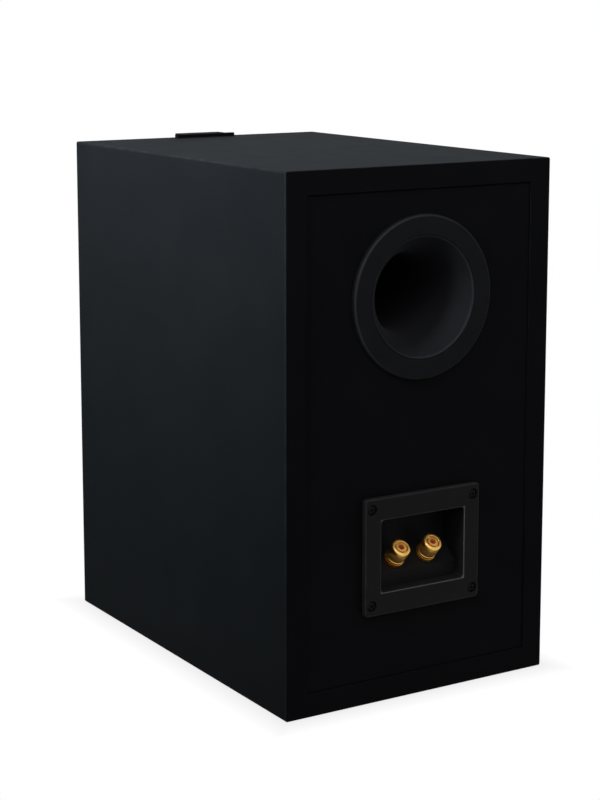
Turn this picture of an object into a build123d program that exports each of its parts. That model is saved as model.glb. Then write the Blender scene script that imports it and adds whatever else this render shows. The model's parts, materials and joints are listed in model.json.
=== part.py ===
from build123d import *
import os
from math import cos, pi, radians, sin, tan

# Two-way bookshelf loudspeaker with a rear port, one solid or group of solids for each piece.
# Millimetres. +Z is up, the drive units face -Y, the port and the terminals face +Y.
# The origin is on the floor, in the middle of the footprint.

# Cabinet: a wrap of four mitred boards, with the front and back boards set in between them
CABINET_WIDTH = 212.0
CABINET_DEPTH = 305.0
CABINET_HEIGHT = 362.0
WALL = 16.0
BAFFLE = 20.0
CORNER_RADIUS = 1.4
EDGE_RADIUS = 0.8
BACK_INSET = 1.0
BOARD_CHAMFER = 0.8
PROUD = 4.0  # how far the front trim and the terminal plate stand out of the cabinet's faces
BRACE_Y = 20.0
BRACE_THICKNESS = 14.0
BRACE_RIM = 26.0
BRACE_CORNER = 18.0
WADDING = 18.0
WADDING_FOOT = 70.0
WADDING_REACH = 108.0  # length of the wadding in front of the brace

# Screws, and the holes and seats that take them
HEAD_RADIUS = 3.2
HEAD_HEIGHT = 1.7
SHANK_RADIUS = 1.75
PILOT_RADIUS = 1.8
THROUGH_RADIUS = 2.0
SEAT_RADIUS = 3.7
PLATE_SEAT = HEAD_HEIGHT  # heads flush with the terminal plate
WAVEGUIDE_SEAT = 2.0
SCREW_GRIP = 13.0  # length of thread in a board

# Reflex port
PORT_HEIGHT = 274.0
PORT_PROUD = 2.2
PORT_RING_RADIUS = 55.5
PORT_MOUTH_RADIUS = 41.2
PORT_GROOVE = 0.6  # round the mouth, both wide and deep
PORT_BORE_RADIUS = 26.0
PORT_FLARE_DEPTH = 40.0
PORT_LENGTH = 154.0
PORT_WALL = 2.5
PORT_SOCKET = 14.0
INNER_FLARE = 11.0
INNER_FLARE_DEPTH = 26.0

# Terminal cup, its recess and its ramp, which carries the binding posts
PLATE_WIDTH = 93.5
PLATE_HEIGHT = 80.6
PLATE_Z = 102.2
PLATE_CORNER = 2.5
PLATE_EDGE = 1.4
RECESS_WIDTH = 68.0
RECESS_HEIGHT = 49.8
RECESS_DEPTH = 25.2
RECESS_CORNER = 2.5
RECESS_LIP = 0.9
CUP_WALL = 2.4
CUP_CLEARANCE = 0.8  # between the cup's outer wall and the hole in the back panel
RAMP_ANGLE = 42.0
RAMP_FOOT_Y = 10.5  # ramp's foot, in from the plate's face
RAMP_FOOT_Z = 9.8  # height of the ramp's foot above the recess floor
GASKET = 0.8
PLATE_SCREW_X = 41.3
PLATE_SCREW_Z = 33.0

# Binding posts, measured along their axis from the face of the ramp
POST_SPACING = 26.0
POST_ALONG_RAMP = 8.9
COLLAR_RADIUS = 6.9
COLLAR_TOP = 0.8
SHOULDER_TOP = 1.8
WASHER_TOP = 2.8
CAP_RADIUS = 6.7
CAP_TOP = 15.2
CAP_GROOVE = 1.1
CAP_GROOVE_DEPTH = 1.6
STUD_RADIUS = 3.6
STUD_TOP = 15.0
STUD_TAIL_RADIUS = 3.0
STUD_TAIL = -11.0
STUD_FIT = 0.05
RUNNING_CLEARANCE = 0.08
SOCKET_RADIUS = 2.05
SOCKET_DEPTH = 20.0
WIRE_HOLE_RADIUS = 1.5
WIRE_HOLE_HEIGHT = 3.6
NUT_ACROSS_FLATS = 10.0
NUT_HEIGHT = 3.0
LUG = 0.6

# Woofer, with depths measured in from the front of the baffle
WOOFER_Z = 104.0
FLANGE_RADIUS = 83.0
FLANGE_FRONT = 1.0
FLANGE_BACK = 4.0
WOOFER_HOLE_RADIUS = 72.0
REBATE_DEPTH = 5.0
REBATE_CLEARANCE = 0.4
TRIM_INNER = 71.9
TRIM_OUTER = 86.4
TRIM_WALL = 2.0
SURROUND_FACE = 0.4
SURROUND_OUTER = 67.5
SURROUND_INNER = 58.0
SURROUND_RISE = 4.0
RUBBER = 0.6
CONE_FACE = SURROUND_FACE + RUBBER
CONE_RIM = 57.8
CONE_EDGE = 54.6
CONE_MIDDLE = (34.0, 12.6)
CONE_NECK_DEPTH = 27.0
CONE_THICKNESS = 0.9
DUST_CAP_RADIUS = 23.0
DUST_CAP_APEX = 12.4
DUST_CAP_EDGE = 24.0
FORMER_RADIUS = 15.2
FORMER_WALL = 0.2
FORMER_ENDS = (25.5, 61.0)
WINDING = 0.6
COIL_LENGTH = 14.0
BASKET_STEEL = 2.4
BASKET_LIP = 68.0
BASKET_SKIRT = 56.0
SPIDER_LEDGE = 36.0
SPIDER_CLOTH = 0.6
TOP_PLATE_DEPTH = 48.5
TOP_PLATE = 6.0
PLATE_RADIUS = 47.0
MAGNET = 16.0
MAGNET_RADIUS = 50.0
MAGNET_BORE = 24.0
YOKE = 6.0
POLE_RADIUS = 14.4
POLE_VENT = 4.0
WOOFER_SCREW_COUNT = 6
WOOFER_SCREW_CIRCLE = 77.5
WOOFER_SCREW_LENGTH = 17.0
WOOFER_SHANK_RADIUS = 1.9
WOOFER_PILOT_RADIUS = 1.95
WOOFER_THROUGH_RADIUS = 2.2
TAB_OFFSET = 7.0
STRIP_X = 60.0
STRIP_DEPTH = 41.0

# Tweeter and its waveguide plate, with the lip that hooks over the cabinet's top
TWEETER_Z = 279.0
WAVEGUIDE_SIDE = 136.0
TONGUE_WIDTH = 38.0
TONGUE_REACH = 8.4  # over the top, from the front edge to the lip
LIP_WIDTH = 51.0
LIP_HEIGHT = 2.8
LIP_DEPTH = 4.2
HORN_MOUTH_RADIUS = 54.0
HORN_THROAT_RADIUS = 16.2
HORN_THROAT_DEPTH = 13.0
MOTOR_DEPTH = 15.5
MOTOR_RADIUS = 36.0
DOME_RADIUS = 12.7
DOME_HEIGHT = 5.2
CLAMP_RING = 0.5
TWEETER_PLATE = 4.0
TWEETER_MAGNET = 10.0
TWEETER_YOKE = 5.0
TWEETER_POLE_RADIUS = 11.9
TWEETER_SCREW_OFFSET = 47.0
TWEETER_TAB_OFFSET = 6.0

# Crossover board on the floor of the cabinet, and the leads
BOARD_SIZE = (116.0, 80.0, 1.6)
BOARD_Y = 84.0
BOARD_HOLE_INSET = 6.0
BOARD_HOLE_RADIUS = 1.7
BOARD_SCREW_RADIUS = 1.45
BOARD_SCREW_LENGTH = 18.0
BOARD_PILOT_RADIUS = 1.5
BOARD_PILOT_DEPTH = 10.0
STANDOFF = 8.0
LEAD_RADIUS = 1.2
TINSEL_RADIUS = 0.7

FRONT = -CABINET_DEPTH / 2
REAR = CABINET_DEPTH / 2
BACK_FACE = REAR - BACK_INSET
PLATE_FACE = REAR + PROUD
INNER_WIDTH = CABINET_WIDTH - 2 * WALL
INNER_HEIGHT = CABINET_HEIGHT - 2 * WALL
MIDDLE_Z = CABINET_HEIGHT / 2
BOARD_TOP = WALL + STANDOFF + BOARD_SIZE[2]
CUT = 1.0  # how far a cut runs past the face that it opens
FROM_BASE = (Align.CENTER, Align.CENTER, Align.MIN)


def rod_y(radius, y0, y1, x=0.0, z=0.0):
    """Round bar along Y between two depths."""
    return Pos(x, (y0 + y1) / 2, z) * Rot(X=90) * Cylinder(radius, abs(y1 - y0))


def tube_y(outer, inner, y0, y1, z):
    """Plain ring or tube about the Y direction."""
    return rod_y(outer, y0, y1, 0, z) - rod_y(inner, y0 - CUT, y1 + CUT, 0, z)


def turned(z, *curves):
    """Solid of revolution about the Y direction, from curves drawn as radius against depth."""
    return Pos(0, 0, z) * revolve(make_face(list(curves)), Axis.Y)


def closed(*points):
    """Closed outline through points."""
    return Polyline(*points, close=True)


def slab_y(outline, y0, y1, x=0.0, z=0.0):
    """Flat outline, drawn in X and Z, thickened between two depths."""
    return Pos(x, y1, z) * extrude(Plane.XZ * outline, y1 - y0)


def ring_of(count, radius, z, start=0.0):
    """Places evenly spaced round a centre on the Y axis at height z."""
    angles = [radians(start + 360 * i / count) for i in range(count)]
    return [(radius * cos(a), z + radius * sin(a)) for a in angles]


def corners(dx, dz, z):
    """The four places at plus and minus dx and dz round a centre at height z."""
    return [(sx * dx, z + sz * dz) for sx in (-1, 1) for sz in (-1, 1)]


def drilled(body, places, radius, y0, y1):
    """Body with a round hole along Y at each place."""
    for x, z in places:
        body -= rod_y(radius, y0, y1, x, z)
    return body


def pan_screw(x, z, seat, out, length, shank=SHANK_RADIUS):
    """Cross-recessed pan-head screw whose head stands out of seat, towards the sign of out along Y."""
    top = seat + out * HEAD_HEIGHT
    body = rod_y(HEAD_RADIUS, seat, top, x, z)
    body = fillet(body.edges().group_by(Axis.Y)[-1 if out > 0 else 0], HEAD_HEIGHT * 0.55)
    slot = Box(HEAD_RADIUS * 1.1, HEAD_HEIGHT * 1.3, HEAD_RADIUS * 0.28)
    for turn in (0, 90):
        body -= Pos(x, top, z) * Rot(Y=turn) * slot
    return body + rod_y(shank, seat, seat - out * length, x, z)


def group(pieces):
    """Several separate solids kept in one node."""
    return Compound(children=[piece.solid() for piece in pieces])


def lead(points, radius=LEAD_RADIUS):
    """Wire along a route, bent at each point as widely as its two runs allow."""
    route = [Vector(*p) for p in points]
    bends = []
    for before, corner, after in zip(route, route[1:], route[2:]):
        turn = radians((corner - before).get_angle(after - corner))
        run = min((corner - before).length, (after - corner).length)
        bends.append(0.45 * run / tan(turn / 2))
    path = FilletPolyline(*route, radius=bends)
    wire = sweep(Plane(path @ 0, z_dir=path % 0) * Circle(radius), path)
    share = wire.volume / (pi * radius**2 * path.length)
    print(f"lead: tightest bend {min(bends):.1f} mm, volume {share:.3f} of its section times its length")
    return wire


PLATE_SCREWS = corners(PLATE_SCREW_X, PLATE_SCREW_Z, PLATE_Z)
WOOFER_SCREWS = ring_of(WOOFER_SCREW_COUNT, WOOFER_SCREW_CIRCLE, WOOFER_Z, 180 / WOOFER_SCREW_COUNT)
TWEETER_SCREWS = corners(TWEETER_SCREW_OFFSET, TWEETER_SCREW_OFFSET, TWEETER_Z)


def cabinet_panels():
    """Four boards cut from one wrapped frame along 45-degree mitres."""
    outline = RectangleRounded(CABINET_WIDTH, CABINET_HEIGHT, CORNER_RADIUS)
    frame = slab_y(outline, FRONT, REAR, z=MIDDLE_Z)
    frame = fillet(frame.faces().filter_by(Axis.Y).edges(), EDGE_RADIUS)
    frame -= Pos(0, 0, MIDDLE_Z) * Box(INNER_WIDTH, CABINET_DEPTH + 2 * CUT, INNER_HEIGHT)
    reach = 10.0  # how far a mitre wedge runs past its board, outside and inside
    x1, x0 = CABINET_WIDTH / 2 + reach, INNER_WIDTH / 2 - reach
    top1, top0 = CABINET_HEIGHT + reach, CABINET_HEIGHT - WALL - reach
    low1, low0 = -reach, WALL + reach
    wedges = {
        "top_panel": [(-x1, top1), (x1, top1), (x0, top0), (-x0, top0)],
        "bottom_panel": [(-x1, low1), (x1, low1), (x0, low0), (-x0, low0)],
        "right_side_panel": [(x1, low1), (x1, top1), (x0, top0), (x0, low0)],
        "left_side_panel": [(-x1, low1), (-x1, top1), (-x0, top0), (-x0, low0)],
    }
    panels = {}
    for name, points in wedges.items():
        panels[name] = frame & slab_y(make_face(closed(*points)), FRONT - CUT, REAR + CUT)
    for x, y in board_fixings():
        panels["bottom_panel"] -= Pos(x, y, WALL) * Cylinder(BOARD_PILOT_RADIUS, 2 * BOARD_PILOT_DEPTH)
    return panels


def set_in_board(y0, y1, outer_y):
    """Board that fills the wrap, with its visible edge broken by a small chamfer."""
    board = Pos(0, (y0 + y1) / 2, MIDDLE_Z) * Box(INNER_WIDTH, y1 - y0, INNER_HEIGHT)
    edges = board.edges().filter_by_position(Axis.Y, outer_y - 0.01, outer_y + 0.01)
    return chamfer(edges, BOARD_CHAMFER)


def front_baffle():
    board = set_in_board(FRONT, FRONT + BAFFLE, FRONT)
    face, back = FRONT - CUT, FRONT + BAFFLE + CUT
    board -= rod_y(WOOFER_HOLE_RADIUS, face, back, 0, WOOFER_Z)
    board -= rod_y(FLANGE_RADIUS + REBATE_CLEARANCE, face, FRONT + REBATE_DEPTH, 0, WOOFER_Z)
    board -= rod_y(HORN_MOUTH_RADIUS - CUT, face, back, 0, TWEETER_Z)
    board = drilled(board, WOOFER_SCREWS, WOOFER_PILOT_RADIUS, FRONT, FRONT + BAFFLE - CUT)
    return drilled(board, TWEETER_SCREWS, PILOT_RADIUS, face, FRONT + WALL)


def back_panel():
    inside = BACK_FACE - WALL
    board = set_in_board(inside, BACK_FACE, BACK_FACE)
    board -= rod_y(PORT_MOUTH_RADIUS - 1.2, inside - CUT, REAR, 0, PORT_HEIGHT)
    room = 2 * (CUP_WALL + CUP_CLEARANCE)
    cutout = RectangleRounded(RECESS_WIDTH + room, RECESS_HEIGHT + room, 2 * RECESS_CORNER)
    board -= slab_y(cutout, inside - CUT, REAR, z=PLATE_Z)
    return drilled(board, PLATE_SCREWS, PILOT_RADIUS, inside - CUT, REAR)


def window_brace():
    wide, high = INNER_WIDTH - 2 * BRACE_RIM, INNER_HEIGHT - 2 * BRACE_RIM
    outline = Rectangle(INNER_WIDTH, INNER_HEIGHT) - RectangleRounded(wide, high, BRACE_CORNER)
    return slab_y(outline, BRACE_Y, BRACE_Y + BRACE_THICKNESS, z=MIDDLE_Z)


def damping_wadding():
    """Two folded sheets of wadding on the side walls and the top, before and behind the brace."""
    x1, top1 = INNER_WIDTH / 2, CABINET_HEIGHT - WALL
    x0, top0 = x1 - WADDING, top1 - WADDING
    fold = [(-x1, WADDING_FOOT), (-x1, top1), (x1, top1), (x1, WADDING_FOOT)]
    fold += [(x0, WADDING_FOOT), (x0, top0), (-x0, top0), (-x0, WADDING_FOOT)]
    sheet = make_face(closed(*fold))
    front = slab_y(sheet, BRACE_Y - WADDING_REACH, BRACE_Y)
    rear = slab_y(sheet, BRACE_Y + BRACE_THICKNESS, BACK_FACE - WALL)
    return group([front, rear])


def port_flange():
    """Ring on the back panel with the mouth flare and a socket for the tube."""
    bore, mouth, ring = PORT_BORE_RADIUS, PORT_MOUTH_RADIUS, PORT_RING_RADIUS
    face, throat = REAR + PORT_PROUD, REAR + PORT_PROUD - PORT_FLARE_DEPTH
    lip, shoulder, edge, rim = 1.3, 1.5, 2.2, mouth + PORT_GROOVE
    socket = bore + PORT_WALL + 0.1
    sleeve, sleeve_start, sleeve_end = socket + PORT_WALL, throat + 4, throat - PORT_SOCKET
    return turned(
        PORT_HEIGHT,
        Spline((bore, throat), (mouth - lip, face - lip), tangents=[(0, 1), (0.72, 0.69)]),
        ThreePointArc((mouth - lip, face - lip), (mouth - 0.85, face - 0.35), (mouth, face)),
        Polyline((mouth, face), ((mouth + rim) / 2, face - PORT_GROOVE), (rim, face), (ring - edge, face)),
        RadiusArc((ring - edge, face), (ring, face - edge), edge),
        Polyline((ring, face - edge), (ring, BACK_FACE), (mouth - shoulder, BACK_FACE)),
        Spline((mouth - shoulder, BACK_FACE), (sleeve, sleeve_start), tangents=[(-0.5, -0.87), (0, -1)]),
        Polyline((sleeve, sleeve_start), (sleeve, sleeve_end), (socket, sleeve_end), (socket, throat),
                 (bore, throat)),
    )


def port_tube():
    """Straight tube that ends in the inner flare."""
    bore, outer = PORT_BORE_RADIUS, PORT_BORE_RADIUS + PORT_WALL
    start, end = REAR + PORT_PROUD - PORT_FLARE_DEPTH, REAR + PORT_PROUD - PORT_LENGTH
    bend, tip, rim = end + INNER_FLARE_DEPTH, bore + INNER_FLARE, (bore + INNER_FLARE + 1, end + 2.2)
    return turned(
        PORT_HEIGHT,
        Spline((bore, bend), (tip, end), tangents=[(0, -1), (0.9, -0.44)]),
        ThreePointArc((tip, end), (tip + 1.2, end + 0.7), rim),
        Spline(rim, (outer, bend + 2), tangents=[(-0.9, 0.44), (0, 1)]),
        Polyline((outer, bend + 2), (outer, start), (bore, start), (bore, bend)),
    )


def recess_profile(wall):
    """Outline of the recess in Y and Z, grown outwards by a wall thickness."""
    slope = radians(RAMP_ANGLE)
    floor = PLATE_Z - RECESS_HEIGHT / 2
    foot_y, foot_z = PLATE_FACE - RAMP_FOOT_Y, floor + RAMP_FOOT_Z
    top, back = floor + RECESS_HEIGHT + wall, PLATE_FACE - RECESS_DEPTH - wall
    front, low = foot_y - wall, floor - wall
    mouth = BACK_FACE + CUT if wall else PLATE_FACE + CUT

    def ramp(y):
        return foot_z - wall / cos(slope) + (foot_y - y) * tan(slope)

    return [(mouth, top), (back, top), (back, ramp(back)), (front, ramp(front)), (front, low), (mouth, low)]


def recess_block(wall):
    """The recess as a solid, grown by a wall thickness, with its four long edges rounded."""
    width, height = RECESS_WIDTH + 2 * wall, RECESS_HEIGHT + 2 * wall
    block = extrude(Plane.YZ * make_face(closed(*recess_profile(wall))), width / 2, both=True)
    outline = RectangleRounded(width, height, RECESS_CORNER + wall)
    return block & slab_y(outline, FRONT, PLATE_FACE + 2 * CUT, z=PLATE_Z)


def terminal_cup():
    outline = RectangleRounded(PLATE_WIDTH, PLATE_HEIGHT, PLATE_CORNER)
    plate = slab_y(outline, BACK_FACE + GASKET, PLATE_FACE, z=PLATE_Z)
    plate = fillet(plate.faces().sort_by(Axis.Y)[-1].edges(), PLATE_EDGE)
    cup = plate + recess_block(CUP_WALL) - recess_block(0)
    mouth = cup.faces().sort_by(Axis.Y)[-1].inner_wires()[0]
    cup = fillet(mouth.edges(), RECESS_LIP)
    cup = drilled(cup, PLATE_SCREWS, THROUGH_RADIUS, BACK_FACE, PLATE_FACE + CUT)
    cup = drilled(cup, PLATE_SCREWS, SEAT_RADIUS, PLATE_FACE - PLATE_SEAT, PLATE_FACE + CUT)
    for side in (-1, 1):
        cup -= on_post(side, 0, STUD_TAIL_RADIUS + STUD_FIT, -2 * CUP_WALL, CUT)
    return cup


def terminal_gasket():
    outer = RectangleRounded(PLATE_WIDTH - 2, PLATE_HEIGHT - 2, PLATE_CORNER - 1)
    room = 2 * CUP_WALL + 2.2
    outline = outer - RectangleRounded(RECESS_WIDTH + room, RECESS_HEIGHT + room, 2 * RECESS_CORNER)
    gasket = slab_y(outline, BACK_FACE, BACK_FACE + GASKET, z=PLATE_Z)
    return drilled(gasket, PLATE_SCREWS, THROUGH_RADIUS, BACK_FACE - CUT, REAR)


def terminal_screws():
    seat = PLATE_FACE - PLATE_SEAT
    length = seat - BACK_FACE + SCREW_GRIP
    return group([pan_screw(x, z, seat, 1, length) for x, z in PLATE_SCREWS])


def post_frame(side):
    """Place of a binding post: on the ramp, with the local Z axis square to it."""
    slope = radians(RAMP_ANGLE)
    floor = PLATE_Z - RECESS_HEIGHT / 2
    y = PLATE_FACE - RAMP_FOOT_Y - POST_ALONG_RAMP * cos(slope)
    z = floor + RAMP_FOOT_Z + POST_ALONG_RAMP * sin(slope)
    up = (0, sin(slope), cos(slope))
    return Plane((side * POST_SPACING / 2, y, z), x_dir=(1, 0, 0), z_dir=up).location


def on_post(side, inner, outer, low, high):
    """Ring on a post's axis between two heights above the ramp, or a plug if inner is zero."""
    ring = Pos(0, 0, low) * Cylinder(outer, high - low, align=FROM_BASE)
    if inner:
        ring -= Pos(0, 0, low - CUT) * Cylinder(inner, high - low + 2 * CUT, align=FROM_BASE)
    return post_frame(side) * ring


def post_stud(side):
    """Plated stud with a shoulder, a cross hole for bare wire and a plug socket down its middle."""
    stud = on_post(side, 0, STUD_TAIL_RADIUS, STUD_TAIL, SHOULDER_TOP)
    stud += on_post(side, 0, COLLAR_RADIUS, COLLAR_TOP, SHOULDER_TOP)
    stud += on_post(side, 0, STUD_RADIUS, SHOULDER_TOP, STUD_TOP)
    stud -= on_post(side, 0, SOCKET_RADIUS, STUD_TOP - SOCKET_DEPTH, STUD_TOP + CUT)
    wire = Pos(0, 0, WIRE_HOLE_HEIGHT) * Rot(X=90) * Cylinder(WIRE_HOLE_RADIUS, 4 * STUD_RADIUS)
    return stud - post_frame(side) * wire


def post_collar(side):
    return on_post(side, STUD_TAIL_RADIUS + STUD_FIT, COLLAR_RADIUS, 0, COLLAR_TOP)


def clamp_washer(side):
    return on_post(side, STUD_RADIUS + RUNNING_CLEARANCE, COLLAR_RADIUS, SHOULDER_TOP, WASHER_TOP)


def post_cap(side):
    """Round cap that screws down the stud, with a ring groove in its end."""
    length, bore = CAP_TOP - WASHER_TOP, STUD_RADIUS + RUNNING_CLEARANCE
    cap = Cylinder(CAP_RADIUS, length, align=FROM_BASE)
    cap = fillet(cap.edges().group_by(Axis.Z)[-1], 0.9)
    cap = fillet(cap.edges().group_by(Axis.Z)[0], 0.4)
    cap -= Pos(0, 0, -CUT) * Cylinder(bore, length + 2 * CUT, align=FROM_BASE)
    groove = Cylinder(STUD_RADIUS + CAP_GROOVE, CAP_GROOVE_DEPTH + CUT, align=FROM_BASE)
    cap -= Pos(0, 0, length - CAP_GROOVE_DEPTH) * groove
    return post_frame(side) * Pos(0, 0, WASHER_TOP) * cap


def post_nuts():
    pieces = []
    for side in (-1, 1):
        nut = extrude(RegularPolygon(NUT_ACROSS_FLATS / 2, 6, major_radius=False), NUT_HEIGHT)
        nut -= Cylinder(STUD_TAIL_RADIUS + STUD_FIT, 4 * NUT_HEIGHT)
        pieces.append(post_frame(side) * Pos(0, 0, -CUP_WALL - LUG - NUT_HEIGHT) * nut)
    return group(pieces)


def solder_lugs():
    pieces = []
    eye, tail, width = 5.4, 16.0, 4.4
    for side in (-1, 1):
        outline = Circle(eye) + Pos(side * tail / 2, 0) * Rectangle(tail, width)
        outline -= Circle(STUD_TAIL_RADIUS + STUD_FIT)
        pieces.append(post_frame(side) * Pos(0, 0, -CUP_WALL - LUG) * extrude(outline, LUG))
    return group(pieces)


def at(radius, depth):
    """Point of a drive unit's profile, with its depth measured in from the front of the baffle."""
    return (radius, FRONT + depth)


def woofer_basket():
    """Pressed steel frame with six windows between its spokes and a ledge for the spider."""
    inside, spout = BASKET_SKIRT - BASKET_STEEL, 20.0
    ledge_inner, ledge_back, floor = 49.5, SPIDER_LEDGE + 2, TOP_PLATE_DEPTH - 2
    outline = closed(
        at(BASKET_LIP, FLANGE_FRONT), at(FLANGE_RADIUS, FLANGE_FRONT), at(FLANGE_RADIUS, FLANGE_BACK),
        at(BASKET_LIP + 3.2, FLANGE_BACK), at(BASKET_SKIRT, SPIDER_LEDGE - 1),
        at(BASKET_SKIRT, TOP_PLATE_DEPTH), at(spout, TOP_PLATE_DEPTH), at(spout, floor), at(inside, floor),
        at(inside, ledge_back),
        at(ledge_inner, ledge_back), at(ledge_inner, SPIDER_LEDGE), at(inside, SPIDER_LEDGE),
        at(BASKET_LIP, FLANGE_BACK + 0.6),
    )
    basket = turned(WOOFER_Z, outline)
    windows, middle = 6, FRONT + 21.5
    window = Pos(62, 0, 0) * Box(34, 25, 46)
    for i in range(windows):
        basket -= Pos(0, middle, WOOFER_Z) * Rot(Y=360 * i / windows) * window
    return drilled(basket, WOOFER_SCREWS, WOOFER_THROUGH_RADIUS, FRONT, FRONT + FLANGE_BACK + CUT)


def woofer_gasket():
    front, back = FRONT + FLANGE_BACK, FRONT + REBATE_DEPTH
    gasket = tube_y(FLANGE_RADIUS, WOOFER_HOLE_RADIUS + 1, front, back, WOOFER_Z)
    return drilled(gasket, WOOFER_SCREWS, WOOFER_THROUGH_RADIUS, front - CUT, back + CUT)


def woofer_trim_ring():
    """Snap-on ring that hides the screws, hollow behind."""
    inner, outer, back = TRIM_INNER, TRIM_OUTER, TRIM_WALL - PROUD
    lip, crown, brow = (inner, -1.4), (inner + 3.5, -PROUD), (outer - 4.4, -PROUD)
    groove_inner, groove_outer = inner + 2.3, outer - 3.8
    return turned(
        WOOFER_Z,
        ThreePointArc(at(*lip), at(inner + 1.3, -3.3), at(*crown)),
        Line(at(*crown), at(*brow)),
        ThreePointArc(at(*brow), at(outer - 1.4, -2.9), at(outer, 0)),
        Polyline(at(outer, 0), at(groove_outer, 0), at(groove_outer, back), at(groove_inner, back),
                 at(groove_inner, FLANGE_FRONT), at(inner, FLANGE_FRONT), at(*lip)),
    )


def woofer_screws():
    seat, length, shank = FRONT + FLANGE_FRONT, WOOFER_SCREW_LENGTH, WOOFER_SHANK_RADIUS
    return group([pan_screw(x, z, seat, -1, length, shank) for x, z in WOOFER_SCREWS])


def half_roll(inner, outer, base, height, thickness):
    """Outer and inner curves of a roll edge that bulges forwards from a base depth."""
    middle, crest = (inner + outer) / 2, base - height
    over = ThreePointArc(at(inner, base), at(middle, crest), at(outer, base))
    under = ThreePointArc(
        at(inner + thickness, base), at(middle, crest + thickness), at(outer - thickness, base))
    return over, under


def woofer_surround():
    """Rubber half roll with a land on the cone's rim and a land on the frame."""
    front, back = SURROUND_FACE, SURROUND_FACE + RUBBER
    inner, outer = SURROUND_INNER, SURROUND_OUTER
    over, under = half_roll(inner, outer, front, SURROUND_RISE, RUBBER)
    cone_land, frame_land = CONE_EDGE + 0.2, outer + 4
    inside = Polyline(at(inner, front), at(cone_land, front), at(cone_land, back),
                      at(inner + RUBBER, back), at(inner + RUBBER, front))
    outside = Polyline(at(outer, front), at(frame_land, front), at(frame_land, back),
                       at(outer - RUBBER, back), at(outer - RUBBER, front))
    return turned(WOOFER_Z, over, outside, under, inside)


def cone_curve(shift):
    """Cone's meridian from its rim to its neck, moved in depth by shift."""
    middle_radius, middle_depth = CONE_MIDDLE
    return Spline(at(CONE_EDGE, CONE_FACE + shift), at(middle_radius, middle_depth + shift),
                  at(FORMER_RADIUS, CONE_NECK_DEPTH + shift), tangents=[(-1, 0.42), (-0.66, 0.75)])


def woofer_cone():
    neck, back = CONE_NECK_DEPTH, CONE_FACE + CONE_THICKNESS
    return turned(
        WOOFER_Z,
        cone_curve(0),
        Line(at(FORMER_RADIUS, neck), at(FORMER_RADIUS, neck + CONE_THICKNESS)),
        cone_curve(CONE_THICKNESS),
        Polyline(at(CONE_EDGE, back), at(CONE_RIM, back), at(CONE_RIM, CONE_FACE), at(CONE_EDGE, CONE_FACE)),
    )


def behind_cone():
    """Everything behind the front of the cone, used to fit the dust cap against it."""
    neck, far = CONE_NECK_DEPTH, 60.0
    rest = Polyline(at(FORMER_RADIUS, neck), at(0, neck), at(0, far), at(CONE_EDGE, far),
                    at(CONE_EDGE, CONE_FACE))
    return turned(WOOFER_Z, cone_curve(0), rest)


def ahead_of_cone():
    """Everything in front of the back of the cone, used to end the leads on it."""
    neck, back, far = CONE_NECK_DEPTH + CONE_THICKNESS, CONE_FACE + CONE_THICKNESS, -20.0
    rest = Polyline(at(FORMER_RADIUS, neck), at(FORMER_RADIUS, far), at(CONE_EDGE, far), at(CONE_EDGE, back))
    return turned(WOOFER_Z, cone_curve(CONE_THICKNESS), rest)


def woofer_dust_cap():
    """Shallow dome glued to the cone over the voice coil."""
    rim, apex, edge, thickness = DUST_CAP_RADIUS, DUST_CAP_APEX, DUST_CAP_EDGE, 0.5
    half, drop = rim * 0.55, 2.3
    shell = turned(
        WOOFER_Z,
        ThreePointArc(at(0, apex), at(half, apex + drop), at(rim, edge)),
        Line(at(rim, edge), at(rim, edge + thickness)),
        ThreePointArc(at(0, apex + thickness), at(half, apex + drop + thickness), at(rim, edge + thickness)),
        Line(at(0, apex + thickness), at(0, apex)),
    )
    return (shell - behind_cone()).solids().sort_by(SortBy.VOLUME)[-1]


def voice_coil_former():
    front, back = FORMER_ENDS
    return tube_y(FORMER_RADIUS, FORMER_RADIUS - FORMER_WALL, FRONT + front, FRONT + back, WOOFER_Z)


def voice_coil_winding():
    middle, half = FRONT + TOP_PLATE_DEPTH + TOP_PLATE / 2, COIL_LENGTH / 2
    return tube_y(FORMER_RADIUS + WINDING, FORMER_RADIUS, middle - half, middle + half, WOOFER_Z)


def woofer_spider():
    """Corrugated cloth disc from the voice coil former to the frame's ledge."""
    inner, outer, land_end, rise, waves, steps = 18.0, 48.0, 53.4, 1.1, 5, 40
    front, back = SPIDER_LEDGE - SPIDER_CLOTH, SPIDER_LEDGE
    wave = []
    for i in range(steps + 1):
        share = i / steps
        wave.append((inner + (outer - inner) * share, rise * sin(2 * pi * waves * share)))
    return turned(
        WOOFER_Z,
        Spline(*[at(radius, front + lift) for radius, lift in wave]),
        Polyline(at(outer, front), at(land_end, front), at(land_end, back), at(outer, back)),
        Spline(*[at(radius, back + lift) for radius, lift in wave]),
        Polyline(at(inner, front), at(FORMER_RADIUS, front), at(FORMER_RADIUS, back), at(inner, back)),
    )


def woofer_top_plate():
    gap, front = FORMER_RADIUS + WINDING + 0.5, FRONT + TOP_PLATE_DEPTH
    return tube_y(PLATE_RADIUS, gap, front, front + TOP_PLATE, WOOFER_Z)


def woofer_magnet():
    """Ferrite ring with broken edges."""
    start, outer, broken = TOP_PLATE_DEPTH + TOP_PLATE, MAGNET_RADIUS, 1.5
    end = start + MAGNET
    return turned(WOOFER_Z, closed(
        at(MAGNET_BORE, start), at(outer - broken, start), at(outer, start + broken), at(outer, end - broken),
        at(outer - broken, end), at(MAGNET_BORE, end)))


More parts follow.
